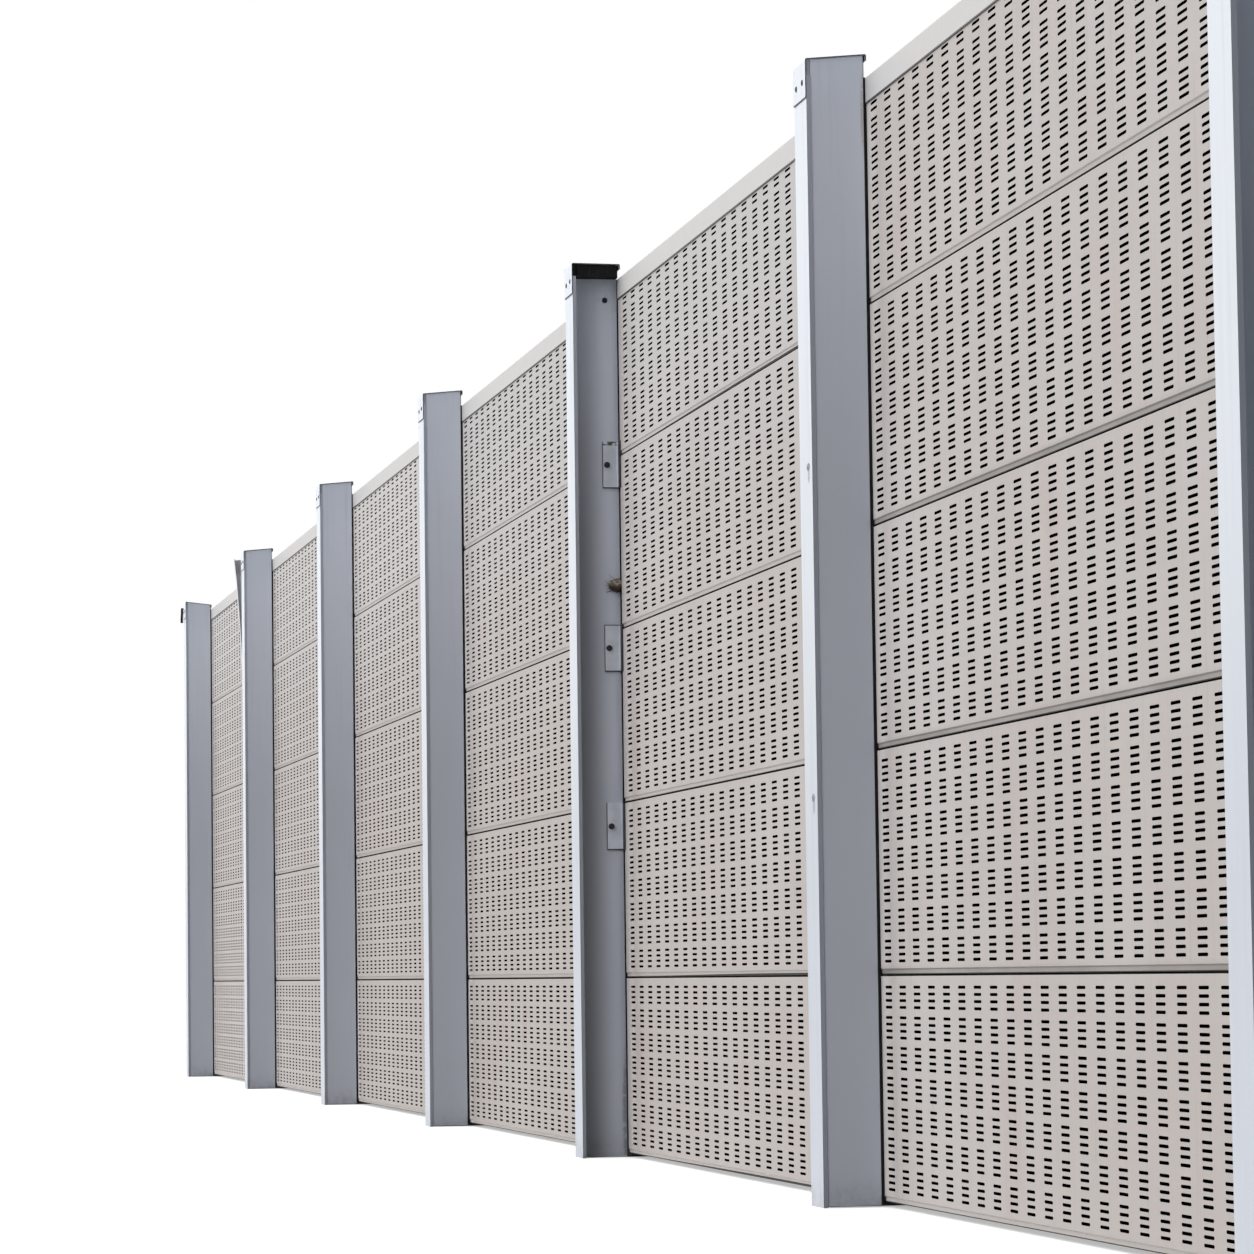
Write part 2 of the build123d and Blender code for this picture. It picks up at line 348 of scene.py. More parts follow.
@dataclass(frozen=True)
class SteelPaint:
    """Satin blue-grey paint on posts, cover plates and hoods, painted paler
    at the top as painted light and darker towards the foot as painted shade."""

    name: str = "post_paint"
    # The next two colours are painted light up high and painted shade at the foot; the second is also the rain
    # streaks' colour.
    lit_tone: Colour = (0.752, 0.808, 0.93)
    shade_and_streak_tone: Colour = (0.509, 0.550, 0.628)
    # painted light on the faces to the front, more so higher up
    bleached_and_lit: Colour = (0.87, 0.915, 0.965)
    grime: Colour = (0.20, 0.195, 0.19)
    top: float = 2.55
    lit_from: float = 1.10
    dull_to_pale: Span = (7.0, -6.0)  # along the wall
    bleached_and_lit_rise: Span = (0.6, 1.6)
    foot_splash: float = 0.08
    flange_back: float = -0.1105
    # painted shade and dirt on the front flanges' side edges
    flange_edge_shade_and_dirt: Colour = (0.60, 0.605, 0.62)
    marks: tuple[Mark, ...] = ()
    bare_axis: float | None = None  # middle of the post with an open channel
    beside_axis: float = 0.001  # the painted shade lies from here
    channel_reach: float = 0.030  # to here beside that middle
    between_flanges: float = 0.1110  # half the room between the flanges
    corner: float = -0.108  # behind the front flange, across the wall like the next three
    lit_start: float = -0.075
    least_shade_at: float = 0.004
    gap_from: float = 0.0187
    shade_fade: Span = (2.5, 1.6)  # down the web
    lit_rise: Span = (0.2, 1.5)  # up the web
    # painted shade in the bare channel, and black painted shade in its gap
    channel_shade_tone: Colour = (0.085, 0.090, 0.098)
    gap_shade: Colour = (0.010, 0.010, 0.011)

    def streaks(self, g: Graph) -> bpy.types.NodeSocket:
        """Noise drawn out down the steel, for the runs that rain has left."""
        return g.noise(g.stretched((9.0, 9.0, 0.35)), 6.0, 4.0)

    def colour(self, g: Graph) -> bpy.types.NodeSocket:
        """Paler with height as painted light and darker towards the foot as painted
        shade, paler on the faces to the front as painted light, darker on the front
        flanges' edges as painted shade and dirt, long faint rain streaks, broad
        patches, a little splash dirt at the foot and the marks.

        Args:
            g: the material's node tree.

        Returns:
            The colour socket.
        """
        # painted light and shade: paler with height, darker towards the foot
        rise = g.ramp(g.height, self.lit_from, 2 * self.top - self.lit_from, 0.0, 2.0)
        by_end = g.ramp(g.along, *self.dull_to_pale, -0.08, 0.24)
        patches = g.math("MULTIPLY_ADD", g.noise(g.place, 1.3, 2.0), 0.16, -0.08)
        light_and_tone = g.math("ADD", g.math("ADD", rise, by_end), patches, clamp=True)
        colour = g.lay(light_and_tone, self.shade_and_streak_tone, self.lit_tone)
        facing = g.nodes.new("ShaderNodeNewGeometry").outputs["Normal"]
        # painted light: faces to the front laid paler, more so higher up
        front = g.times(g.ramp(g.axis(facing, 1), -0.5, -0.9),
                        g.ramp(g.height, *self.bleached_and_lit_rise, 0.24, 0.62))
        colour = g.lay(front, colour, self.bleached_and_lit)
        # painted shade and dirt: the front flanges' side edges darker
        sideways = g.above(g.math("ABSOLUTE", g.axis(facing, 0)), 0.5)
        edge = g.times(sideways, g.below(g.across, self.flange_back))
        colour = g.lay(edge, colour, self.flange_edge_shade_and_dirt, Blend.MULTIPLY)
        colour = g.lay(g.ramp(self.streaks(g), 0.50, 0.78, 0.0, 0.25), colour, self.shade_and_streak_tone)
        speckle = g.noise(g.place, 38.0, 4.0, 0.7)
        splash = g.times(g.ramp(g.height, self.foot_splash, 0.0), g.ramp(speckle, 0.35, 0.75, 0.05, 0.40))
        colour = g.lay(splash, colour, self.grime)
        if self.bare_axis is not None:
            colour = self.channel_light_and_shade(g, colour)
        for mark in self.marks:
            colour = mark.lay_on(g, colour)
        return colour

    def channel_light_and_shade(self, g: Graph, colour: bpy.types.NodeSocket) -> bpy.types.NodeSocket:
        """Painted shade on the web that has lost its cover plate: darkest in the
        corner behind the front flange, giving way to painted light towards the
        panels, and painted black shade in the gap beside their ends.

        Args:
            g: the material's node tree.
            colour: the colour below.

        Returns:
            The colour socket.
        """
        beside = g.math("SUBTRACT", g.along, self.bare_axis)
        bare = g.times(g.above(beside, self.beside_axis), g.below(beside, self.channel_reach),
                       g.below(g.math("ABSOLUTE", g.across), self.between_flanges))
        # painted shade in the corner behind the front flange, fading up the web
        dusty = g.times(g.ramp(g.across, self.least_shade_at, self.corner, 0.0, 0.66),
                        g.ramp(g.height, *self.shade_fade, 0.56, 1.0))
        # painted light towards the panels
        lit_share = g.times(g.ramp(g.across, self.lit_start, self.least_shade_at, 0.20, 0.60),
                         g.ramp(g.height, *self.lit_rise, 0.55, 1.0))
        colour = g.lay(g.times(bare, lit_share), colour, self.lit_tone)
        colour = g.lay(g.times(bare, dusty), colour, self.channel_shade_tone)
        # painted black shade in the gap beside the panel ends
        return g.lay(g.times(bare, g.above(g.across, self.gap_from)), colour, self.gap_shade)

    def material(self) -> bpy.types.Material:
        """The paint's colour, streaky gloss and faint orange peel.

        Returns:
            The material.
        """
        g = Graph(self.name)
        g.surface(self.colour(g), g.ramp(self.streaks(g), 0.2, 0.8, 0.42, 0.58), gloss=0.25)
        g.bump(g.noise(g.place, 240.0, 2.0), 0.0002)
        return g.material


@dataclass(frozen=True)
class CoverPaint(SteelPaint):
    """The same paint on the cover plates, with painted black shade along the rear edge, for the shadow gap
    beside the panels.
    """

    name: str = "cover_paint"
    # painted shade of the gap beside the panels, along the rear edge
    edge: Colour = (0.030, 0.030, 0.032)
    rear: float = 0.0142  # the plates' rear edge, across the wall
    cut: float = 0.0026  # the painted shade line's width

    def colour(self, g: Graph) -> bpy.types.NodeSocket:
        """The paint's colour with a painted shade line along the edge by the panels."""
        line = g.above(g.across, self.rear - self.cut)
        return g.lay(line, super().colour(g), self.edge)


@dataclass(frozen=True)
class LoosePlatePaint(SteelPaint):
    """The same paint on the plate that peels away, painted paler up its height
    as painted light, since little light reaches it."""

    name: str = "loose_plate_paint"
    # painted light: a paler top tone that reaches further down
    lit_tone: Colour = (0.97, 0.98, 1.0)
    lit_from: float = 1.2


@dataclass(frozen=True)
class HoodPaint(SteelPaint):
    """The same paint on the hoods, with painted black shade along their cut edges."""

    name: str = "hood_paint"
    # painted black shade at the flap's foot and on the side edges
    edge: Colour = (0.030, 0.030, 0.032)
    spacing: float = 3.0  # from post to post
    half_width: float = 0.06  # of a post
    edge_from: float = 0.0002
    foot: float = 2.473  # height of the front flap's lower edge
    cut: float = 0.0030  # the painted shade line's width

    def colour(self, g: Graph) -> bpy.types.NodeSocket:
        """The paint's colour with painted shade lines at the flap's foot and on
        the sheet's two side edges.

        Args:
            g: the material's node tree.

        Returns:
            The colour socket.
        """
        from_axis = g.math("PINGPONG", g.along, self.spacing / 2)
        side = g.above(from_axis, self.half_width + self.edge_from)
        foot = g.below(g.height, self.foot + self.cut)
        return g.lay(g.either(foot, side), super().colour(g), self.edge)


@dataclass(frozen=True)
class PanelCoating:
    """Matt warm grey coating on the cassettes, dusty and stained.

    The map's U runs along a cassette and its V up from its foot, in metres.
    """

    name: str = "panel_coating"
    colour: Colour = (0.452, 0.416, 0.406)
    pale: Colour = (0.500, 0.474, 0.466)
    stain: Colour = (0.43, 0.345, 0.33)
    dirt: Colour = (0.16, 0.145, 0.13)
    bleached_and_lit: Colour = (0.490, 0.497, 0.506)
    bleached_far: Colour = (0.560, 0.556, 0.552)
    film: Colour = (0.895, 0.885, 0.865)
    # painted light: the paler strip beside each post
    lit_end_tone: Colour = (0.67, 0.63, 0.615)
    # painted light on the downward step over the lips
    lit_step_tone: Colour = (0.80, 0.755, 0.735)
    lip_tone: Colour = (0.20, 0.185, 0.175)
    joint_tone: Colour = (0.02, 0.018, 0.017)
    length: float = 2.95
    height: float = 0.497
    lip: float = 0.0115  # middle of the slope over the lip, above the cassette's foot
    step_half: float = 0.0015  # half that slope's height
    lip_fade_above: float = 0.001
    lip_fade_below: float = 0.002
    dirt_above_lip: float = 0.014
    joint_foot: float = 0.0022
    joint_top: float = 0.0012
    lit_end: Span = (0.15, 0.06)  # from a cassette's end
    last_bay_from: float = 6.0  # along the wall
    bay_fade: float = 0.1
    bleached_and_lit_rise: Span = (1.6, 2.4)  # up the wall
    far_rise: Span = (0.3, -0.3)  # along the wall, to the paler far half
    film_fade: Span = (2.2, 0.4)  # down the wall
    film_near_end: Span = (5.0, 1.5)  # along the wall, in from either end
    film_far_end: Span = (-7.0, -2.5)
    lip_dirt_foot: Span = (0.30, 0.45)  # up the wall, from the lowest panel
    lip_dirt_top: Span = (1.60, 1.90)  # up the wall, to the upper panels
    gaping: Span = (3.1, 5.0)  # along the wall
    gape: float = 0.0036
    middle_joints: float = 1.25  # height between the two joints that don't gape
    middle_reach: float = 0.5

    def weathered(self, g: Graph, patches: bpy.types.NodeSocket) -> bpy.types.NodeSocket:
        """The coating with broad patches, faint warm stains and rain streaks.

        Args:
            g: the material's node tree.
            patches: the noise that the patches follow.

        Returns:
            The colour socket.
        """
        colour = g.lay(g.ramp(patches, 0.35, 0.70), self.colour, self.pale)
        stains = g.noise(g.stretched((1.0, 1.0, 0.6)), 2.6, 2.0)
        colour = g.lay(g.ramp(stains, 0.58, 0.78, 0.0, 0.45), colour, self.stain)
        streaks = g.noise(g.stretched((22.0, 1.0, 0.8)), 3.0, 4.0)
        return g.lay(g.ramp(streaks, 0.52, 0.80, 0.0, 0.16), colour, self.dirt)

    def by_height(self, g: Graph, colour: bpy.types.NodeSocket) -> bpy.types.NodeSocket:
        """Bleaches all but the last bay towards the top, and lays a film of
        dust towards the foot, thickest on the middle bays.

        Args:
            g: the material's node tree.
            colour: the colour below.

        Returns:
            The colour socket.
        """
        before_last = g.ramp(g.along, self.last_bay_from + self.bay_fade,
                             self.last_bay_from - self.bay_fade, 0.0, 0.65)
        bleaching = g.times(g.ramp(g.height, *self.bleached_and_lit_rise), before_last)
        bleached_and_lit = g.lay(g.ramp(g.along, *self.far_rise), self.bleached_and_lit, self.bleached_far)
        colour = g.lay(bleaching, colour, bleached_and_lit)
        dusty = g.times(g.ramp(g.along, *self.film_near_end, 0.25, 1.0),
                        g.ramp(g.along, *self.film_far_end, 0.2, 1.0), g.ramp(g.height, *self.film_fade))
        return g.lay(dusty, colour, self.film, Blend.MULTIPLY)

    def along_lip(self, g: Graph, colour: bpy.types.NodeSocket,
                  up: bpy.types.NodeSocket) -> bpy.types.NodeSocket:
        """A film of dirt on and above the lower lip of the last bay's middle
        panels, and the step over the other lips painted pale as painted light,
        against the shade on its downward face.

        Args:
            g: the material's node tree.
            colour: the colour below.
            up: height above the cassette's foot.

        Returns:
            The colour socket.
        """
        drift = g.noise(g.place, 2.2, 3.0, 0.6)
        dirt_and_shade = g.times(g.ramp(g.height, *self.lip_dirt_foot, 0.10, 1.0),
                        g.ramp(g.height, *self.lip_dirt_top, 1.0, 0.15),
                        g.ramp(g.along, self.last_bay_from - self.bay_fade,
                               self.last_bay_from + self.bay_fade, 0.12, 1.0))
        # painted light on the step where there is no dirt
        step = g.below(g.distance(up, self.lip), self.step_half)
        colour = g.lay(g.times(step, g.math("SUBTRACT", 1.0, dirt_and_shade)), colour, self.lit_step_tone)
        lip = g.times(g.ramp(up, self.lip + self.lip_fade_above, self.lip - self.lip_fade_below),
                      g.ramp(drift, 0.30, 0.70, 0.50, 0.85), dirt_and_shade)
        colour = g.lay(lip, colour, self.lip_tone)
        above = g.times(g.ramp(up, self.lip + self.dirt_above_lip, self.lip),
                        g.ramp(drift, 0.35, 0.70, 0.04, 0.20), dirt_and_shade)
        return g.lay(above, colour, self.dirt)

    def joint(self, g: Graph, up: bpy.types.NodeSocket) -> bpy.types.NodeSocket:
        """The dark joint at a cassette's foot and top. The fifth bay's lowest
        and highest joints gape towards its last post.

        Args:
            g: the material's node tree.
            up: height above the cassette's foot.

        Returns:
            1 in the joint and 0 elsewhere.
        """
        gaping = g.times(g.ramp(g.along, *self.gaping, 0.0, self.gape),
                         g.below(g.along, self.last_bay_from),
                         g.above(g.distance(g.height, self.middle_joints), self.middle_reach))
        foot = g.below(up, g.math("ADD", gaping, self.joint_foot))
        return g.either(foot, g.above(up, self.height - self.joint_top))

    def material(self) -> bpy.types.Material:
        """Weathering by place and height, a paler strip beside each post as
        painted light against the shadow that the post casts, the lips, the joints
        and fine specks, on a faintly wavy surface.

        Returns:
            The material.
        """
        g = Graph(self.name)
        uv = g.nodes.new("ShaderNodeUVMap").outputs[0]
        up = g.axis(uv, 1)
        patches = g.noise(g.place, 1.3, 3.0)
        colour = self.by_height(g, self.weathered(g, patches))
        from_end = g.math("PINGPONG", g.axis(uv, 0), self.length / 2)
        # painted light against the post's shadow, near each cassette's end
        colour = g.lay(g.ramp(from_end, *self.lit_end), colour, self.lit_end_tone)
        colour = self.along_lip(g, colour, up)
        joint = self.joint(g, up)
        colour = g.lay(joint, colour, self.joint_tone)
        specks = g.ramp(g.noise(g.place, 90.0, 2.0), 0.68, 0.80, 0.0, 0.22)
        colour = g.lay(specks, colour, self.dirt)
        g.surface(colour, g.either(joint, g.ramp(patches, 0.2, 0.8, 0.52, 0.68)))
        g.bump(g.noise(g.stretched((1.0, 1.0, 2.0)), 5.0, 2.0), 0.0022)
        return g.material


@dataclass(frozen=True)
class CappingCoating:
    """Paler coating on the folded cappings along the wall's top."""

    name: str = "capping_coating"
    colour: Colour = (0.575, 0.57, 0.575)
    dust: Colour = (0.42, 0.40, 0.38)
    # painted shade along the lower edge
    edge: Colour = (0.025, 0.024, 0.024)
    foot: float = 2.462
    cut: float = 0.0040

    def material(self) -> bpy.types.Material:
        """Faint runs under the fold, dust lying in broad patches and a painted
        shade line along the cut lower edge.

        Returns:
            The material.
        """
        g = Graph(self.name)
        runs = g.noise(g.stretched((26.0, 1.0, 1.5)), 4.0, 4.0)
        colour = g.lay(g.ramp(runs, 0.5, 0.85, 0.0, 0.40), self.colour, self.dust)
        dust = g.noise(g.place, 3.2, 3.0)
        colour = g.lay(g.ramp(dust, 0.55, 0.80, 0.0, 0.25), colour, self.dust)
        low = g.below(g.height, self.foot + self.cut)
        g.surface(g.lay(low, colour, self.edge), 0.5)
        g.bump(g.noise(g.place, 6.0, 2.0), 0.001)
        return g.material


@dataclass(frozen=True)
class Rubber:
    """Matt black foam and rubber of gaskets, seals and the hoods' packing,
    painted over where the packing's end shows in front of a cover plate."""

    name: str = "gasket_rubber"
    colour: Colour = (0.012, 0.012, 0.013)
    grey: Colour = (0.04, 0.039, 0.038)
    overspray: Colour = (0.40, 0.42, 0.47)
    spacing: float = 3.0  # from post to post
    packing_side: float = 0.050  # painted from here out from a post's middle,
    packing_front: float = -0.1100  # in front of here
    packing_foot: float = 2.515  # and above here
    bare_axis: float = 3.0  # but not within reach of this post's middle
    bare_reach: float = 0.5

    def material(self) -> bpy.types.Material:
        """Nearly black, with dusty grey patches and a pitted surface.

        Returns:
            The material.
        """
        g = Graph(self.name)
        dust = g.noise(g.stretched((1.0, 1.0, 0.2)), 60.0, 3.0)
        colour = g.lay(g.ramp(dust, 0.5, 0.8), self.colour, self.grey)
        side = g.above(g.math("PINGPONG", g.along, self.spacing / 2), self.packing_side)
        covered = g.above(g.distance(g.along, self.bare_axis), self.bare_reach)
        painted = g.times(side, g.below(g.across, self.packing_front),
                          g.above(g.height, self.packing_foot), covered)
        g.surface(g.lay(painted, colour, self.overspray), 0.85, gloss=0.12)
        g.bump(g.noise(g.place, 700.0, 2.0), 0.0003)
        return g.material


@dataclass(frozen=True)
class ClipCoat:
    """Grey coat on the panel clips, with painted shadow lines against the panels,
    under their feet, along their free edges and on one clip's top, and rust
    broken out along the upper clip's top edge."""

    name: str = "clip_steel"
    colour: Colour = (0.75, 0.80, 0.885)
    dark: Colour = (0.635, 0.68, 0.765)
    # the black of the painted shadow lines
    dirt: Colour = (0.008, 0.008, 0.009)
    rust: Colour = (0.055, 0.042, 0.036)
    panel_front: float = 0.0192  # across the wall
    leg_shade: float = 0.0046
    leg_from: float = 3.024  # along the wall
    free_edge: float = -0.0288  # across the wall
    edge_line: float = 0.0014
    feet: tuple[float, ...] = ()  # the clips' lower ends, as heights
    foot_line: float = 0.0030
    lined_top: float = 1.549  # the height of the one lined top
    top_line: float = 0.0022
    rust_top: float = 2.025
    rust_reach: float = 0.006

    def material(self) -> bpy.types.Material:
        """Faint patches, a black line of painted shadow on the free edge, the foot,
        one clip's top and the outer part of the panel leg, and rust in broken
        blots near one height.

        Returns:
            The material.
        """
        g = Graph(self.name)
        patches = g.noise(g.place, 22.0, 3.0)
        colour = g.lay(g.ramp(patches, 0.3, 0.7), self.colour, self.dark)
        # painted shadow lines on the panel leg's outer part, the free edge, the feet and one top
        leg = g.times(g.above(g.across, self.panel_front - self.leg_shade), g.above(g.along, self.leg_from))
        dirt_and_shade = g.either(leg, g.below(g.across, self.free_edge + self.edge_line))
        lines = [(foot, self.foot_line) for foot in self.feet] + [(self.lined_top, self.top_line)]
        for level, reach in lines:
            dirt_and_shade = g.either(dirt_and_shade, g.below(g.distance(g.height, level), reach))
        colour = g.lay(dirt_and_shade, colour, self.dirt)
        blots = g.noise(g.place, 95.0, 3.0, 0.6)
        near_top = g.below(g.distance(g.height, self.rust_top), self.rust_reach)
        colour = g.lay(g.times(g.ramp(blots, 0.46, 0.58), near_top), colour, self.rust)
        g.surface(colour, 0.5)
        g.bump(blots, 0.0003)
        return g.material


@dataclass(frozen=True)
class DarkSteel:
    """Weathered zinc of rivets and bolts, laid nearly black, partly as painted shade."""

    name: str = "dark_steel"
    # nearly black: weathering and painted shade
    colour: Colour = (0.020, 0.021, 0.025)
    worn: Colour = (0.075, 0.078, 0.085)

    def material(self) -> bpy.types.Material:
        """Dark with paler worn blots.

        Returns:
            The material.
        """
        g = Graph(self.name)
        blots = g.noise(g.place, 260.0, 3.0)
        g.surface(g.lay(g.ramp(blots, 0.50, 0.75), self.colour, self.worn), 0.6, gloss=0.25, metal=0.1)
        return g.material


@dataclass(frozen=True)
class FleeceAndShade:
    """Black fleece over the mineral wool, seen through the slots; the same black lines the slots as painted
    shade and grime, and the joints as painted shade.
    """

    name: str = "wool_fleece_and_painted_shade"
    colour: Colour = (0.006, 0.0055, 0.005)
    fibre: Colour = (0.014, 0.013, 0.012)

    def material(self) -> bpy.types.Material:
        """A fibrous, very dark grey.

        Returns:
            The material.
        """
        g = Graph(self.name)
        fibres = g.noise(g.stretched((1.0, 1.0, 3.0)), 220.0, 4.0, 0.7)
        g.surface(g.lay(g.ramp(fibres, 0.4, 0.8), self.colour, self.fibre), 0.95, gloss=0.0)
        return g.material


@dataclass(frozen=True)
class Straw:
    """Dry mud and grass of a small nest, pale on top and dark below as painted shade."""

    name: str = "dry_straw"
    colour: Colour = (0.13, 0.10, 0.08)
    pale: Colour = (0.46, 0.41, 0.36)
    # painted shade on the underside
    under: Colour = (0.035, 0.025, 0.02)
    middle: float = 1.637
    lit_above: float = 0.004
    dark_below: float = 0.009

    def material(self) -> bpy.types.Material:
        """Brown to pale buff from stalk to stalk, with painted shade towards the
        underside.

        Returns:
            The material.
        """
        g = Graph(self.name)
        tone = g.noise(g.place, 110.0, 3.0, 0.7)
        colour = g.lay(g.ramp(tone, 0.38, 0.62), self.colour, self.pale)
        low = g.ramp(g.height, self.middle + self.lit_above, self.middle - self.dark_below)
        g.surface(g.lay(low, colour, self.under), 0.9)
        g.bump(tone, 0.004)
        return g.material


def middle_x(node: str) -> float:
    """Half way along X between the two sides of a node's box."""
    low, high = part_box(node)
    return (low.x + high.x) / 2


def make_mesh(name: str, points: np.ndarray, faces: list[list[int]], materials: list[bpy.types.Material],
              tones: np.ndarray | None = None, smooth: bool = False) -> bpy.types.Mesh:
    """Makes a mesh out of points and faces.

    Args:
        name: the mesh's name.
        points: N x 3 corners in metres.
        faces: corner numbers of each face.
        materials: the finishes of its faces.
        tones: the finish number of each face, all the first when left out.
        smooth: whether its faces are shaded smooth.

    Returns:
        The mesh.
    """
    mesh = bpy.data.meshes.new(name)
    mesh.from_pydata(points.tolist(), [], faces)
    for material in materials:
        mesh.materials.append(material)
    if tones is not None:
        mesh.polygons.foreach_set("material_index", tones.astype(np.int32))
    mesh.polygons.foreach_set("use_smooth", np.full(len(faces), smooth))
    mesh.update()
    return mesh


def add_piece(name: str, mesh: bpy.types.Mesh) -> bpy.types.Object:
    """Makes a piece whose object sits at the origin and rides on the wall.

    Args:
        name: the piece's name.
        mesh: its mesh, in the wall's own frame.

    Returns:
        The new object.
    """
    piece = bpy.data.objects.new(name, mesh)
    bpy.context.scene.collection.objects.link(piece)
    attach(piece, "root")
    return piece


def closed_piece(name: str, points: np.ndarray, faces: list[list[int]], finish: bpy.types.Material,
                 slot: str, smooth: bool = True) -> bpy.types.Object:
    """Makes a piece in one finish, with coincident points welded, open ends
    filled and its faces turned outwards.

    Args:
        name: the piece's name.
        points: N x 3 corners in metres, in the wall's own frame.
        faces: corner numbers of each face.
        finish: its finish.
        slot: not used.
        smooth: whether its faces are shaded smooth.

    Returns:
        The new object.
    """
    mesh = make_mesh(name, points, faces, [finish], smooth=smooth)
    skin = bmesh.new()
    skin.from_mesh(mesh)
    bmesh.ops.remove_doubles(skin, verts=skin.verts, dist=WELD)
    bmesh.ops.holes_fill(skin, edges=[edge for edge in skin.edges if edge.is_boundary])
    bmesh.ops.recalc_face_normals(skin, faces=skin.faces)
    skin.to_mesh(mesh)
    skin.free()
    return add_piece(name, mesh)


def grid_quads(rows: int, columns: int, wrap: bool = False) -> np.ndarray:
    """Quads over a rows x columns grid of points, numbered row by row.

    Corner (i, j) joins (i, j + 1), (i + 1, j + 1) and (i + 1, j); with wrap the
    last column joins the first.

    Args:
        rows: rows of points.
        columns: points in a row.
        wrap: whether each row closes on itself.

    Returns:
        Q x 4 corner numbers.
    """
    i, j = np.meshgrid(np.arange(rows - 1), np.arange(columns - (0 if wrap else 1)), indexing="ij")
    k = (j + 1) % columns
    quads = np.stack([i * columns + j, i * columns + k, (i + 1) * columns + k, (i + 1) * columns + j], -1)
    return quads.reshape(-1, 4)


def tube_along(path: np.ndarray, radii: np.ndarray, sides: int) -> tuple[np.ndarray, np.ndarray]:
    """A round tube: at each path point a ring of the given radius lies in the
    plane across the path, cos and sin of the turn along two normals to it. The
    first is square to a slanting direction that no path here takes.

    Args:
        path: N x 3 points.
        radii: N radii.
        sides: points in a ring.

    Returns:
        The rings' points and their quads.
    """
    along = np.gradient(path, axis=0)
    along /= np.linalg.norm(along, axis=1, keepdims=True)
    slanting = np.array([0.31, 0.17, 0.93])
    side = np.cross(along, slanting)
    side /= np.linalg.norm(side, axis=1, keepdims=True)
    other = np.cross(along, side)
    turn = np.linspace(0, 2 * math.pi, sides, endpoint=False)[None, :, None]
    ring = side[:, None] * np.cos(turn) + other[:, None] * np.sin(turn)
    points = path[:, None] + radii[:, None, None] * ring
    return points.reshape(-1, 3), grid_quads(len(path), sides, wrap=True)


def turned(profile: np.ndarray, sides: int) -> tuple[np.ndarray, np.ndarray]:
    """A shape turned about X: ring k has the profile's radius k and lies its
    distance k along X, cos and sin of the turn giving Y and Z.

    Args:
        profile: N x 2 of distance along X and radius.
        sides: points in a ring.

    Returns:
        The points and the quads.
    """
    turn = np.linspace(0, 2 * math.pi, sides, endpoint=False)
    x = np.repeat(profile[:, :1], sides, 1)
    points = np.stack([x, profile[:, 1:] * np.cos(turn), profile[:, 1:] * np.sin(turn)], -1)
    return points.reshape(-1, 3), grid_quads(len(profile), sides, wrap=True)


def joined(shapes: list[tuple[np.ndarray, np.ndarray]]) -> tuple[np.ndarray, list[list[int]]]:
    """Several shapes as one, their points numbered on from shape to shape.

    Args:
        shapes: the points and the quads of each.

    Returns:
        All the points and all the quads.
    """
    starts = np.cumsum([0] + [len(points) for points, _ in shapes])
    quads = np.concatenate([quads + start for (_, quads), start in zip(shapes, starts)])
    return np.concatenate([points for points, _ in shapes]), quads.tolist()


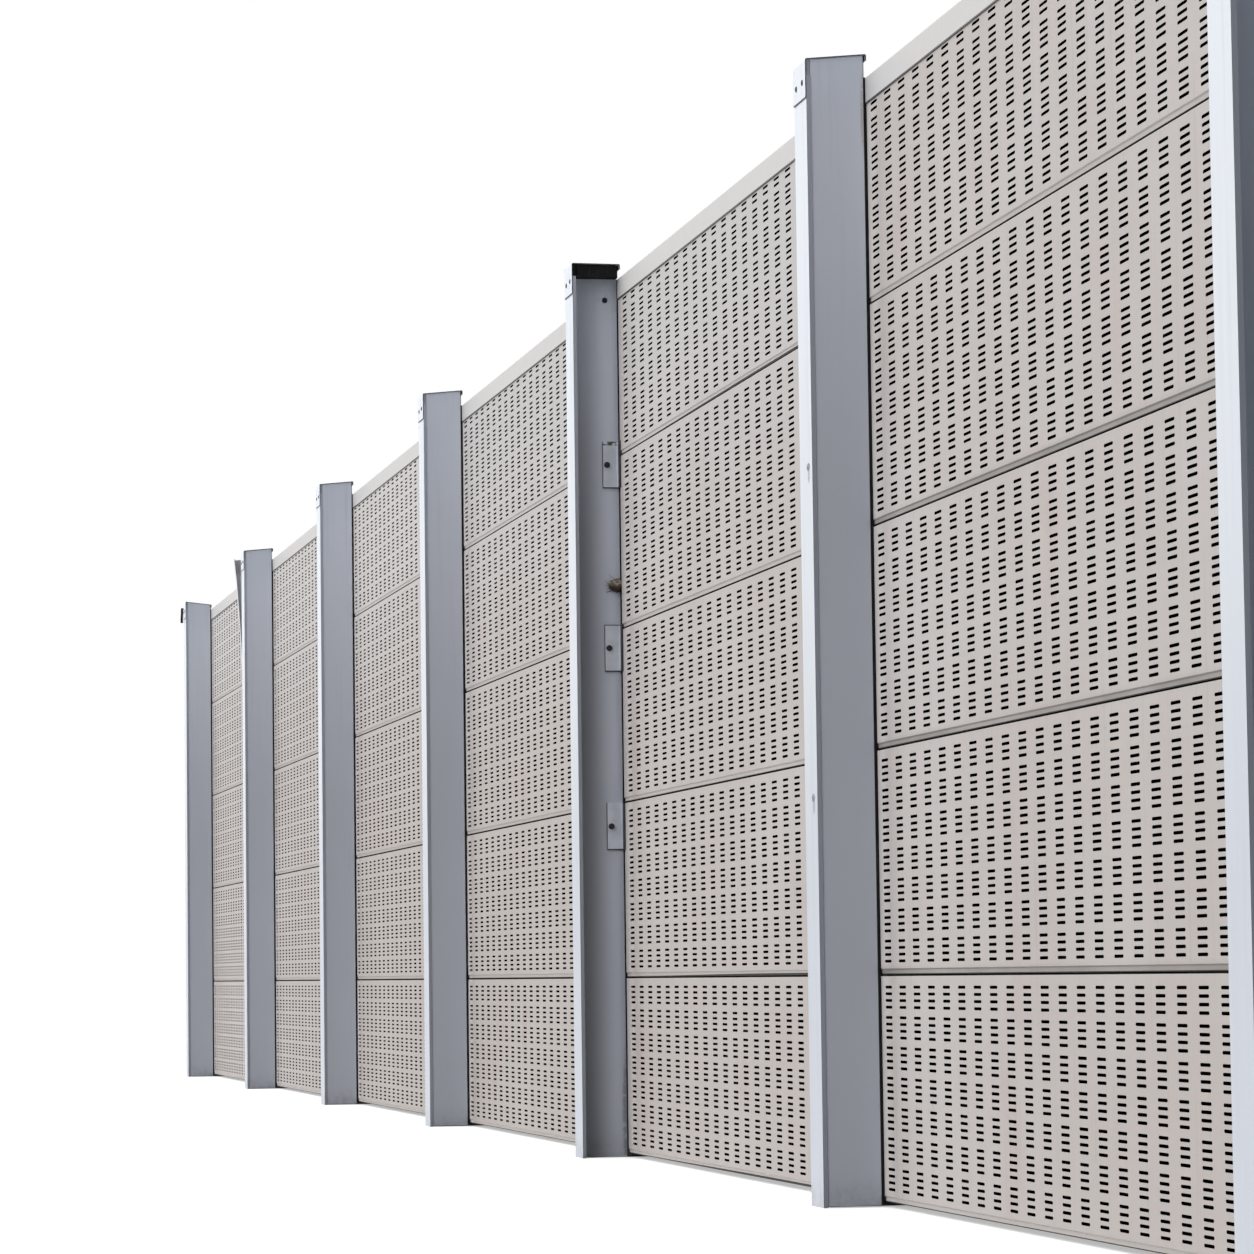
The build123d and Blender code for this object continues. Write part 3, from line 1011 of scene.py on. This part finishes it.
@dataclass
class Cassettes:
    """The stacked panels: a folded shell with a slotted front sheet."""

    rows: int = 5
    columns: int = 23
    column_pitch: float = 0.125
    groups: int = 7
    rows_in_group: int = 4
    row_pitch: float = 0.01466
    group_pitch: float = 0.0665
    first_row_drop: float = 0.025
    slot_half_length: float = 0.0292
    slot_half_height: float = 0.0032
    blunt_share: float = 0.35  # of a slot's height, left straight at its end
    sheet: float = 0.0012
    wool_depth: float = 0.016
    wool_inset: float = 0.004
    body_height: float = 0.497
    lip_height: float = 0.010
    lip_setback: float = 0.003
    fold: float = 0.002
    fold_points: int = 4
    tongue_shoulder: float = 0.020
    tongue_taper: float = 0.003
    tongue_height: float = 0.012
    groove_clearance: float = 0.0015
    groove_height: float = 0.009

    def slot_outline(self) -> np.ndarray:
        """A slot about its middle, anticlockwise from the lower left: straight
        long sides and ends cut to a blunt point.

        Returns:
            8 x 2 corners.
        """
        a, b = self.slot_half_length, self.slot_half_height
        blunt = self.blunt_share * b
        return np.array([(-a + b, -b), (a - b, -b), (a, -blunt), (a, blunt),
                         (a - b, b), (-a + b, b), (-a, blunt), (-a, -blunt)])

    def row_heights(self) -> np.ndarray:
        """Middle height of every slot row above the cassette's foot: row j of
        group i lies i group pitches and j row pitches below the first.

        Returns:
            The heights, rising.
        """
        i, j = np.meshgrid(np.arange(self.groups), np.arange(self.rows_in_group), indexing="ij")
        drop = self.first_row_drop + i * self.group_pitch + j * self.row_pitch
        return np.sort(self.body_height - drop.ravel())

    @staticmethod
    def between(low: float, middles: np.ndarray, pitch: float, high: float) -> np.ndarray:
        """Grid lines midway between slots, half a pitch outside the first and
        the last slot, and at the sheet's two edges.

        Args:
            low: the sheet's lower edge.
            middles: where the slots' middles are, rising.
            pitch: from one slot to the next.
            high: the sheet's upper edge.

        Returns:
            The lines, rising.
        """
        return np.concatenate([[low, middles[0] - pitch / 2], (middles[1:] + middles[:-1]) / 2,
                               [middles[-1] + pitch / 2, high]])

    def front_sheet(self, length: float) -> tuple[np.ndarray, list[list[int]], int, np.ndarray]:
        """The slotted sheet in the plane y = 0, its left foot at the origin.

        There is one plain cell all round the edge. In every inner cell eight
        faces fill the ring between the cell's corners and the slot, and eight
        more line the slot through the sheet.

        Args:
            length: the cassette's length.

        Returns:
            The points, the faces, how many of the last ones line the slots,
            and the numbers of the grid lines' crossings, by row and column.
        """
        first = (length - (self.columns - 1) * self.column_pitch) / 2
        xc = first + self.column_pitch * np.arange(self.columns)
        zc = self.row_heights()
        foot, top = self.lip_height + self.lip_setback, self.body_height - self.fold
        xs = self.between(0, xc, self.column_pitch, length)
        zs = self.between(foot, zc, self.row_pitch, top)
        gx, gz = np.meshgrid(xs, zs)
        lattice = np.stack([gx, np.zeros_like(gx), gz], -1).reshape(-1, 3)
        cells = grid_quads(len(zs), len(xs)).reshape(len(zs) - 1, len(xs) - 1, 4)
        inner = cells[1:-1, 1:-1].reshape(-1, 4)
        rim = np.ones(cells.shape[:2], bool)
        rim[1:-1, 1:-1] = False
        mx, mz = np.meshgrid(xc, zc)
        middles = np.stack([mx.ravel(), mz.ravel()], -1)
        ring = middles[:, None] + self.slot_outline()[None]
        front = np.stack([ring[..., 0], np.zeros(ring.shape[:2]), ring[..., 1]], -1)
        back = front + np.array([0.0, self.sheet, 0.0])
        points = np.concatenate([lattice, front.reshape(-1, 3), back.reshape(-1, 3)])
        f = len(lattice) + np.arange(len(middles) * 8).reshape(-1, 8)
        b = f + len(middles) * 8
        sides, corners = [], []
        for k in range(4):
            here, beyond = inner[:, k], inner[:, (k + 1) % 4]
            sides.append(np.stack([here, beyond, f[:, 2 * k + 1], f[:, 2 * k]], -1))
            corners.append(np.stack([beyond, f[:, (2 * k + 2) % 8], f[:, 2 * k + 1]], -1))
        linings = np.stack([f, np.roll(f, -1, 1), np.roll(b, -1, 1), b], -1).reshape(-1, 4)
        kinds = (cells[rim], np.concatenate(sides), np.concatenate(corners), linings)
        faces = [face for kind in kinds for face in kind.tolist()]
        return points, faces, len(linings), np.arange(len(lattice)).reshape(len(zs), len(xs))

    def shell_outline(self, depth: float) -> tuple[np.ndarray, np.ndarray]:
        """The folded shell's end view (depth, height), from the front sheet's
        top round the tongue, the back and the groove to the sheet's foot.

        Args:
            depth: the cassette's thickness.

        Returns:
            N x 2 points, the four outer folds being quarter circles, and for
            each run between two of them whether it lies in the open joint
            between two cassettes, where light hardly reaches and which is laid black as painted shade.
        """
        r, h, g = self.fold, self.body_height, self.groove_clearance
        bend = np.linspace(0, math.pi / 2, self.fold_points)
        t0, t1, t = self.tongue_shoulder, depth - self.tongue_shoulder, self.tongue_taper
        rise = self.tongue_height
        top_front = np.stack([r - r * np.cos(bend), h - r + r * np.sin(bend)], -1)
        tongue = np.array([(t0, h), (t0 + t, h + rise), (t1 - t, h + rise), (t1, h)])
        top_back = np.stack([depth - r + r * np.sin(bend), h - r + r * np.cos(bend)], -1)
        low_back = np.stack([depth - r + r * np.cos(bend), r - r * np.sin(bend)], -1)
        groove = np.array([(t1 + g, 0), (t1 + g - t, self.groove_height),
                           (t0 - g + t, self.groove_height), (t0 - g, 0)])
        lip = np.array([(self.lip_setback, 0), (self.lip_setback, self.lip_height),
                        (0, self.lip_height + self.lip_setback)])
        parts = ((top_front, False), (tongue, True), (top_back, False), (low_back, False), (groove, True),
                 (lip, False))
        inside = np.repeat([hidden for _, hidden in parts], [len(part) for part, _ in parts])
        return np.concatenate([part for part, _ in parts]), inside[:-1] | inside[1:]

    def shell(self, length: float, depth: float, crossings: np.ndarray,
              start: int) -> tuple[np.ndarray, list[list[int]], np.ndarray]:
        """The outline carried along X and closed by a face at either end; its
        rim takes in every point on the edge of the front sheet.

        Args:
            length: the cassette's length.
            depth: its thickness.
            crossings: numbers of the front sheet's crossings, by row and column.
            start: the number of the first point made here.

        Returns:
            The points, the faces, and for each face whether it lies in the joint.
        """
        outline, in_joint = self.shell_outline(depth)
        outline = outline[1:-1]
        n = len(outline)
        points = np.concatenate([np.column_stack([np.full(n, x), outline]) for x in (0.0, length)])
        left, right = list(range(start, start + n)), list(range(start + n, start + 2 * n))
        strip = (start + grid_quads(2, n)[:, ::-1]).tolist()
        above = [right[0], left[0], *crossings[-1].tolist()]
        below = [right[-1], *crossings[0, ::-1].tolist(), left[-1]]
        ends = [left + crossings[:, 0].tolist(), right[::-1] + crossings[::-1, -1].tolist()]
        faces = [above, *strip, below, *ends]
        return points, faces, np.append(in_joint, np.zeros(len(ends), bool))

    def template(self, coating: bpy.types.Material,
                 fleece: bpy.types.Material) -> tuple[bpy.types.Mesh, np.ndarray]:
        """One cassette with its lowest corner at the origin: the sheet, the
        shell and a plane of fleece, with a map in metres along it and up. The
        fleece's black also lines the slots, as painted shade and grime, and
        the shell's faces in the joints, as painted shade.

        Args:
            coating: finish of the sheet metal.
            fleece: finish behind the slots, also laid on the slots' linings as painted shade and grime and in
                the joints as painted shade.

        Returns:
            The mesh and its points.
        """
        low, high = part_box("panel_bay1_row1")
        length, depth = high.x - low.x, high.y - low.y
        sheet_points, sheet_faces, linings, crossings = self.front_sheet(length)
        shell_points, shell_faces, in_joint = self.shell(length, depth, crossings, len(sheet_points))
        left, right, top = self.wool_inset, length - self.wool_inset, self.body_height - self.wool_inset
        corners = ((left, self.lip_height), (right, self.lip_height), (right, top), (left, top))
        wool = np.array([(x, self.wool_depth, z) for x, z in corners])
        points = np.concatenate([sheet_points, shell_points, wool])
        faces = sheet_faces + shell_faces + [list(range(len(points) - len(wool), len(points)))]
        # the slots' linings and the faces in the joints take the fleece's black: painted shade and grime on
        # the linings, painted shade in the joints
        lining = np.arange(len(sheet_faces)) >= len(sheet_faces) - linings
        tones = np.concatenate([lining, in_joint, [True]])
        mesh = make_mesh("cassette", points, faces, [coating, fleece], tones)
        index = np.empty(len(mesh.loops), np.int32)
        mesh.loops.foreach_get("vertex_index", index)
        chart = mesh.uv_layers.new(name="UVMap")
        chart.data.foreach_set("uv", points[index][:, [0, 2]].astype(np.float32).ravel())
        return mesh, points

    def build(self, coating: bpy.types.Material, fleece: bpy.types.Material) -> list[bpy.types.Object]:
        """Places a copy of one cassette for every panel.

        Args:
            coating: finish of the sheet metal.
            fleece: finish behind the slots, also laid on the slots' linings as painted shade and grime and in
                the joints as painted shade.

        Returns:
            The pieces.
        """
        template, points = self.template(coating, fleece)
        pieces = []
        for bay in range(1, BAYS + 1):
            for row in range(1, self.rows + 1):
                node = f"panel_bay{bay}_row{row}"
                mesh = template.copy()
                placed = points + np.array(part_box(node)[0])
                mesh.vertices.foreach_set("co", placed.astype(np.float32).ravel())
                mesh.update()
                piece = add_piece(f"cassette_bay{bay}_row{row}", mesh)
                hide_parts(node)
                pieces.append(piece)
        bpy.data.meshes.remove(template)
        return pieces


@dataclass
class Fixings:
    """Rivets of the hoods and the bolts of the panel clips."""

    rivet_radius: float = 0.0074
    rivet_dome: float = 0.0028
    rivet_root: float = 0.0005
    rivet_rings: int = 5
    rivet_sides: int = 12
    rivet_spread: float = 0.030
    rivet_drop: float = 0.063
    far_rivet_lower: float = 0.0035
    bolt_sides: int = 6
    bolt_across: float = 0.0130
    bolt_height: float = 0.0065
    bolt_chamfer: float = 0.0012
    bolt_crown: float = 0.88  # the head's top against its foot
    bolt_centre: float = 0.0005
    bolt_setout: float = 0.035
    washer_radius: float = 0.0088
    washer_thick: float = 0.0012
    washer_hole: float = 0.7  # against the head's radius
    washer_sides: int = 20
    clip_sheet: float = 0.004
    clip_half: float = 0.0675
    # Each clip's bolt below the top of the panel with this number.
    clip_drops: dict[int, float] = field(default_factory=lambda: {2: 0.066, 3: 0.054, 4: 0.024})
    panel_height: float = 0.497
    web_leg: float = 0.013
    rust_below_top: float = 0.005

    def rivets(self, finish: bpy.types.Material) -> bpy.types.Object:
        """Two domed rivets side by side through the front flap of each hood:
        quarter of an ellipse, turned.

        Args:
            finish: the rivets' finish.

        Returns:
            The piece.
        """
        rise = np.linspace(0, math.pi / 2, self.rivet_rings)
        profile = np.stack([self.rivet_dome * np.sin(rise), self.rivet_radius * np.cos(rise)], -1)
        root = [[-self.rivet_root, self.rivet_radius]]
        dome, quads = turned(np.concatenate([root, profile]), self.rivet_sides)
        dome = dome[:, [1, 0, 2]] * np.array([1.0, -1.0, 1.0])
        low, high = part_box("post_hoods")
        shapes = []
        for post in range(1, POSTS + 1):
            for side, lower in ((-1.0, self.far_rivet_lower), (1.0, 0.0)):
                spot = np.array([middle_x(f"post_{post}") + side * self.rivet_spread, low.y,
                                 high.z - self.rivet_drop - lower])
                shapes.append((dome + spot, quads))
        return closed_piece("hood_rivets", *joined(shapes), finish, "clip_steel")

    def bolt_heights(self) -> list[float]:
        """Height of each clip's bolt, which is also the middle of the clip."""
        return [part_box(f"panel_bay5_row{row}")[0].z + self.panel_height - drop
                for row, drop in self.clip_drops.items()]

    def bolts(self, finish: bpy.types.Material) -> bpy.types.Object:
        """A washer and a hexagon head on the web leg of each clip.

        Args:
            finish: the bolts' finish.

        Returns:
            The piece.
        """
        thick, rim = self.washer_thick, self.washer_radius
        radius, top = self.bolt_across / math.sqrt(3), thick + self.bolt_height
        plate = np.array([(0, rim), (thick, rim), (thick, radius * self.washer_hole)])
        hexagon = np.array([(thick, radius), (top - self.bolt_chamfer, radius),
                            (top, radius * self.bolt_crown), (top, self.bolt_centre)])
        washer, head = turned(plate, self.washer_sides), turned(hexagon, self.bolt_sides)
        face_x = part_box("panel_clips")[0].x + self.clip_sheet
        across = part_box("panel_bay5_row1")[0].y - self.bolt_setout
        shapes = [(points + np.array([face_x, across, height]), quads)
                  for height in self.bolt_heights() for points, quads in (washer, head)]
        return closed_piece("clip_bolts", *joined(shapes), finish, "clip_steel", smooth=False)

    def coat(self) -> ClipCoat:
        """The clips' finish, told where their legs, feet and tops are.

        Returns:
            The finish.
        """
        middles = self.bolt_heights()
        return ClipCoat(leg_from=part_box("panel_clips")[0].x + self.web_leg,
                        feet=tuple(middle - self.clip_half for middle in middles),
                        lined_top=sorted(middles)[1] + self.clip_half,
                        rust_top=max(middles) + self.clip_half - self.rust_below_top)


@dataclass
class NestClump:
    """A small wad of mud and straw stuck in the corner of web and panel."""

    size: Triple = (0.015, 0.0215, 0.0225)
    off_web: float = 0.012
    off_panel: float = 0.015
    rise_above_panel_foot: float = 0.125
    rings: int = 31
    ring_points: int = 48
    waist: float = 0.78  # height in the middle against that at the panel's side
    stalks: int = 44
    seed: int = 7
    radius: float = 0.0010
    stalk_steps: int = 6
    stalk_sides: int = 5
    half_post: float = 0.06
    stalk_off_web: float = 0.0045
    stalk_reach: float = 0.03
    stalk_off_panel: float = 0.0015

    def middle(self) -> np.ndarray:
        """The wad's middle, against the bare web and touching the panel.

        Returns:
            The point.
        """
        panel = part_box("panel_bay5_row4")[0]
        return np.array([middle_x("post_5") + self.off_web, panel.y - self.off_panel,
                         panel.z + self.rise_above_panel_foot])

    def clump(self, finish: bpy.types.Material) -> bpy.types.Object:
        """A lumpy ball: radius 1 plus four sine waves of the two angles, then
        stretched to its size, a little smaller towards the flange.

        Args:
            finish: the wad's finish.

        Returns:
            The piece.
        """
        around = np.linspace(0, 2 * math.pi, self.ring_points, endpoint=False)
        a, d = np.meshgrid(around, np.linspace(0.0, math.pi, self.rings))
        lump = (1 + 0.13 * np.sin(3 * a + 1.3) * np.sin(3 * d) + 0.10 * np.sin(5 * a - 3 * d)
                + 0.07 * np.sin(9 * d + 2 * a) + 0.05 * np.sin(11 * a + 7 * d))
        lump = 1 + (lump - 1) * np.sin(d) ** 0.5
        ball = np.stack([np.sin(d) * np.cos(a), np.sin(d) * np.sin(a), np.cos(d)], -1) * lump[..., None]
        ball[..., 2] *= self.waist + (1 - self.waist) * np.clip(ball[..., 1], -1, 1)
        points = self.middle() + ball.reshape(-1, 3) * np.array(self.size)
        quads = grid_quads(self.rings, self.ring_points, wrap=True).tolist()
        return closed_piece("nest_clump", points, quads, finish, "clip_steel")

    def straws(self, finish: bpy.types.Material) -> bpy.types.Object:
        """Short bowed stalks out of the wad, most of them towards the flange:
        each a straight line plus a parabola across it, kept off the steel.

        Args:
            finish: the stalks' finish.

        Returns:
            The piece.
        """
        rng = np.random.default_rng(self.seed)
        size = np.array(self.size)
        start = self.middle() + rng.normal(0, 0.5, (self.stalks, 3)).clip(-0.85, 0.85) * size
        reach = rng.normal((0.0, -0.45, 0.10), 0.45, (self.stalks, 3)).clip(-0.9, 0.9) * size
        bow = rng.normal(0, 0.12, (self.stalks, 3)) * size
        t = np.linspace(0, 1, self.stalk_steps)[None, :, None]
        paths = start[:, None] + reach[:, None] * t + bow[:, None] * (t * (1 - t) * 4)
        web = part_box("post_5")[0].x + self.half_post + self.stalk_off_web
        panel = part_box("panel_bay5_row4")[0].y - self.stalk_off_panel
        paths[..., 0] = paths[..., 0].clip(web, web + self.stalk_reach)
        paths[..., 1] = paths[..., 1].clip(None, panel)
        radii = np.linspace(self.radius, self.radius * 0.5, self.stalk_steps)
        shapes = [tube_along(path, radii, self.stalk_sides) for path in paths]
        return closed_piece("nest_straw", *joined(shapes), finish, "clip_steel")


@dataclass
class TornGasket:
    """A strip of gasket that hangs beside the last hood's front flap."""

    radius: float = 0.0068
    length: float = 0.080
    below_top: float = 0.040
    beside_flap: float = 0.0012
    sway_along: float = 0.0006
    sway_out: float = 0.0008
    way_out: float = 0.0030
    steps: int = 18
    sides: int = 8

    def build(self, finish: bpy.types.Material) -> bpy.types.Object:
        """A tube down the flap's outer edge: a hyperbolic tangent takes it off
        the flap within its first tenth, and a sine sways it a little.

        Args:
            finish: the strip's finish.

        Returns:
            The piece.
        """
        hood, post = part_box("post_hoods"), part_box("post_1")
        t = np.linspace(0, 1, self.steps)
        along = post[0].x + self.radius + self.beside_flap + self.sway_along * np.sin(t * 5)
        out = hood[0].y - self.radius - self.way_out * np.tanh(10 * t) + self.sway_out * np.sin(t * 6)
        path = np.stack([along, out, hood[1].z - self.below_top - self.length * t], -1)
        points, quads = tube_along(path, np.full(self.steps, self.radius), self.sides)
        return closed_piece("torn_gasket", points, quads.tolist(), finish, "gasket_rubber")


@dataclass(frozen=True)
class Weathering:
    """Single knocks and stains on the steel: where they sit and their tones."""

    knock: Colour = (0.13, 0.145, 0.19)
    rust: Colour = (0.34, 0.27, 0.20)
    damp: Colour = (0.10, 0.09, 0.095)
    blotch: Colour = (0.25, 0.23, 0.25)
    knock_heights: tuple[float, ...] = (1.645, 0.905)
    knock_aside: float = 0.022
    smear_aside: float = 0.026
    smear_drop: float = 0.019
    knock_radius: float = 0.012
    rust_from_panel: Triple = (0.058, -0.006, 2.44)
    damp_from_panel: Triple = (0.003, 0.002, 0.12)
    blotch_from_corner: Triple = (0.010, 0.025, -0.030)

    def on_posts(self) -> tuple[Mark, ...]:
        """Knocks on one post's front flange, each with a smear below it, a
        rusty stain on its cover plate and damp dirt at the foot of the bare
        channel.

        Returns:
            The marks, for the paint of posts and cover plates.
        """
        struck, bare = middle_x("post_6"), middle_x("post_5")
        front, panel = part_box("post_6")[0].y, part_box("panel_bay6_row1")[0].y
        marks = []
        for height in self.knock_heights:
            marks.append(Mark((struck + self.knock_aside, front, height), radius=self.knock_radius,
                              colour=self.knock, squash=(0.6, 1.0, 1.0)))
            marks.append(Mark((struck + self.smear_aside, front, height - self.smear_drop),
                              radius=self.knock_radius, colour=self.knock, amount=0.55,
                              squash=(0.9, 1.0, 0.55)))
        aside, out, height = self.rust_from_panel
        marks.append(Mark((struck + aside, panel + out, height), radius=0.011, colour=self.rust, amount=0.5,
                          squash=(0.5, 1.0, 0.09), ragged=60.0))
        aside, out, height = self.damp_from_panel
        marks.append(Mark((bare + aside, panel + out, height), radius=0.018, colour=self.damp, amount=0.5,
                          squash=(0.5, 1.0, 0.08), ragged=55.0))
        return tuple(marks)

    def on_loose_plate(self) -> tuple[Mark, ...]:
        """A dark blotch near the top of the plate that peels away.

        Returns:
            The mark, for that plate's paint.
        """
        low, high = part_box("loose_cover_plate")
        aside, out, up = self.blotch_from_corner
        return (Mark((low.x + aside, low.y + out, high.z + up), radius=0.055, colour=self.blotch, amount=0.5,
                     squash=(0.3, 1.0, 0.8), ragged=70.0),)


@dataclass
class Studio:
    """Floor, light and camera."""

    focal_in_widths: float = 3.69082935
    film_width: float = 36.0
    far: float = 500.0
    eye_from_post: Triple = (10.057, -2.4666, 0.5194)  # from post_6's foot, at the panels' face
    yaw: float = 1.3827
    pitch: float = 0.0749
    roll: float = -0.0128
    sun: float = 3.95
    sun_width: float = 100.0
    sun_at: Triple = (-0.06, -0.80, 0.60)
    back_sun: float = 1.35
    back_sun_width: float = 40.0
    back_sun_at: Triple = (0.0, 0.94, 0.34)
    sunlight: Colour = (1.0, 0.985, 0.965)
    sky: float = 0.12
    sky_tint: Colour = (0.96, 0.99, 1.06)
    white: Colour = (1.0, 1.0, 1.0)
    floor_reach: float = 120.0
    floor_for_light: Colour = (0.13, 0.13, 0.13)
    floor_seen: Colour = (0.75, 0.75, 0.75)
    floor_glow: float = 0.42

    def camera(self) -> bpy.types.Object:
        """A long lens low in front of the wall's right end, looking along it.

        The forward, right and up vectors come from yaw, pitch and roll.

        Returns:
            The camera.
        """
        ahead = Vector((-math.sin(self.yaw) * math.cos(self.pitch),
                        math.cos(self.yaw) * math.cos(self.pitch), math.sin(self.pitch)))
        right = Vector((math.cos(self.yaw), math.sin(self.yaw), 0.0))
        up = right.cross(ahead)
        right, up = (right * math.cos(self.roll) + up * math.sin(self.roll),
                     up * math.cos(self.roll) - right * math.sin(self.roll))
        data = bpy.data.cameras.new("view")
        data.sensor_width = self.film_width
        data.lens = self.film_width * self.focal_in_widths
        data.clip_end = self.far
        camera = bpy.data.objects.new("view", data)
        post_face = Vector((middle_x("post_6"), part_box("panel_bay6_row1")[0].y, 0.0))
        turn = Matrix((right, up, -ahead)).transposed().to_4x4()
        camera.matrix_world = Matrix.Translation(post_face + Vector(self.eye_from_post)) @ turn
        bpy.context.scene.collection.objects.link(camera)
        bpy.context.scene.camera = camera
        return camera

    def floor(self) -> bpy.types.Object:
        """A wide pale floor at the posts' feet; the camera sees it nearly
        white, with the wall's soft shadow on it.

        Returns:
            The floor.
        """
        reach = self.floor_reach
        corners = np.array([(-reach, -reach, 0), (reach, -reach, 0), (reach, reach, 0), (-reach, reach, 0)])
        g = Graph("pale_floor")
        seen = g.seen()
        g.surface(g.lay(seen, self.floor_for_light, self.floor_seen), 0.9, gloss=0.0)
        g.feed(g.shader.inputs["Emission Color"], self.white)
        g.feed(g.shader.inputs["Emission Strength"], g.times(seen, self.floor_glow))
        floor = bpy.data.objects.new("floor", make_mesh("floor", corners, [[0, 1, 2, 3]], [g.material]))
        bpy.context.scene.collection.objects.link(floor)
        return floor

    def add_sun(self, name: str, energy: float, width: float, toward: Triple) -> bpy.types.Object:
        """Adds one soft sun.

        Args:
            name: the lamp's name.
            energy: its strength.
            width: the angle it fills in the sky, in degrees.
            toward: the way from the wall to the sun.

        Returns:
            The lamp.
        """
        data = bpy.data.lights.new(name, "SUN")
        data.energy = energy
        data.angle = math.radians(width)
        data.color = self.sunlight
        lamp = bpy.data.objects.new(name, data)
        lamp.matrix_world = Vector(toward).normalized().to_track_quat("Z", "Y").to_matrix().to_4x4()
        bpy.context.scene.collection.objects.link(lamp)
        return lamp

    def light(self) -> None:
        """A broad sun high in front of the wall, a weaker low one behind it,
        and a grey sky that the camera and reflections see as white."""
        self.add_sun("key", self.sun, self.sun_width, self.sun_at)
        self.add_sun("back", self.back_sun, self.back_sun_width, self.back_sun_at)
        world = bpy.data.worlds.new("sky")
        bpy.context.scene.world = world
        world.use_nodes = True
        tree = Tree(world.node_tree)
        grey = tuple(self.sky * share for share in self.sky_tint)
        tree.feed(tree.nodes["Background"].inputs["Color"], tree.lay(tree.seen(), grey, self.white))
        bpy.context.scene.view_settings.view_transform = "Standard"


def dress(nodes: dict[str, bpy.types.Object], names: list[str], finish: bpy.types.Material) -> None:
    """Puts a finish on every material slot of the named solids.

    Args:
        nodes: the solids by name.
        names: those that take the finish.
        finish: the finish.
    """
    for name in names:
        for slot in nodes[name].material_slots:
            slot.material = finish
        LOG.info("solid %s in %s", name, finish.name)


def dress_solids(nodes: dict[str, bpy.types.Object], fixings: Fixings) -> None:
    """Gives every solid that stays in view its finish.

    Args:
        nodes: the solids by name.
        fixings: what knows where the clips' bolts are.
    """
    hood_low, hood_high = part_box("post_hoods")
    weathering, bare_axis = Weathering(), middle_x("post_5")
    posts = SteelPaint(top=hood_high.z, marks=weathering.on_posts(), bare_axis=bare_axis)
    covers = CoverPaint(top=hood_high.z, marks=weathering.on_posts(), rear=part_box("cover_plates_right")[1].y)
    loose = LoosePlatePaint(top=hood_high.z, marks=weathering.on_loose_plate())
    cappings = CappingCoating(foot=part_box("wall_cappings")[0].z)
    dress(nodes, [f"post_{i}" for i in range(1, POSTS + 1)], posts.material())
    dress(nodes, ["cover_plates_right", "cover_plates_left"], covers.material())
    dress(nodes, ["loose_cover_plate"], loose.material())
    dress(nodes, ["post_hoods"], HoodPaint(top=hood_high.z, foot=hood_low.z).material())
    dress(nodes, ["wall_cappings"], cappings.material())
    dress(nodes, ["cover_gaskets", "panel_seals"], Rubber(bare_axis=bare_axis).material())
    dress(nodes, ["panel_clips"], fixings.coat().material())


def main() -> None:
    """Loads the wall, dresses it, lights it and sets the camera."""
    logging.basicConfig(level=logging.INFO, format="%(name)s: %(message)s")
    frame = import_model()
    fixings, nest = Fixings(), NestClump()
    dress_solids(frame["nodes"], fixings)
    low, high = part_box("panel_bay1_row1")
    pieces = Cassettes().build(PanelCoating(length=high.x - low.x).material(), FleeceAndShade().material())
    dark_steel = DarkSteel().material()
    straw = Straw(middle=float(nest.middle()[2])).material()
    torn = Rubber(name="torn_rubber", bare_axis=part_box("post_1")[1].x).material()
    pieces += [fixings.rivets(dark_steel), fixings.bolts(dark_steel), nest.clump(straw), nest.straws(straw),
               TornGasket().build(torn)]
    for piece in pieces:
        LOG.info("piece %s, %d faces", piece.name, len(piece.data.polygons))
    studio = Studio()
    studio.floor()
    studio.light()
    studio.camera()


if __name__ == "__main__":
    main()
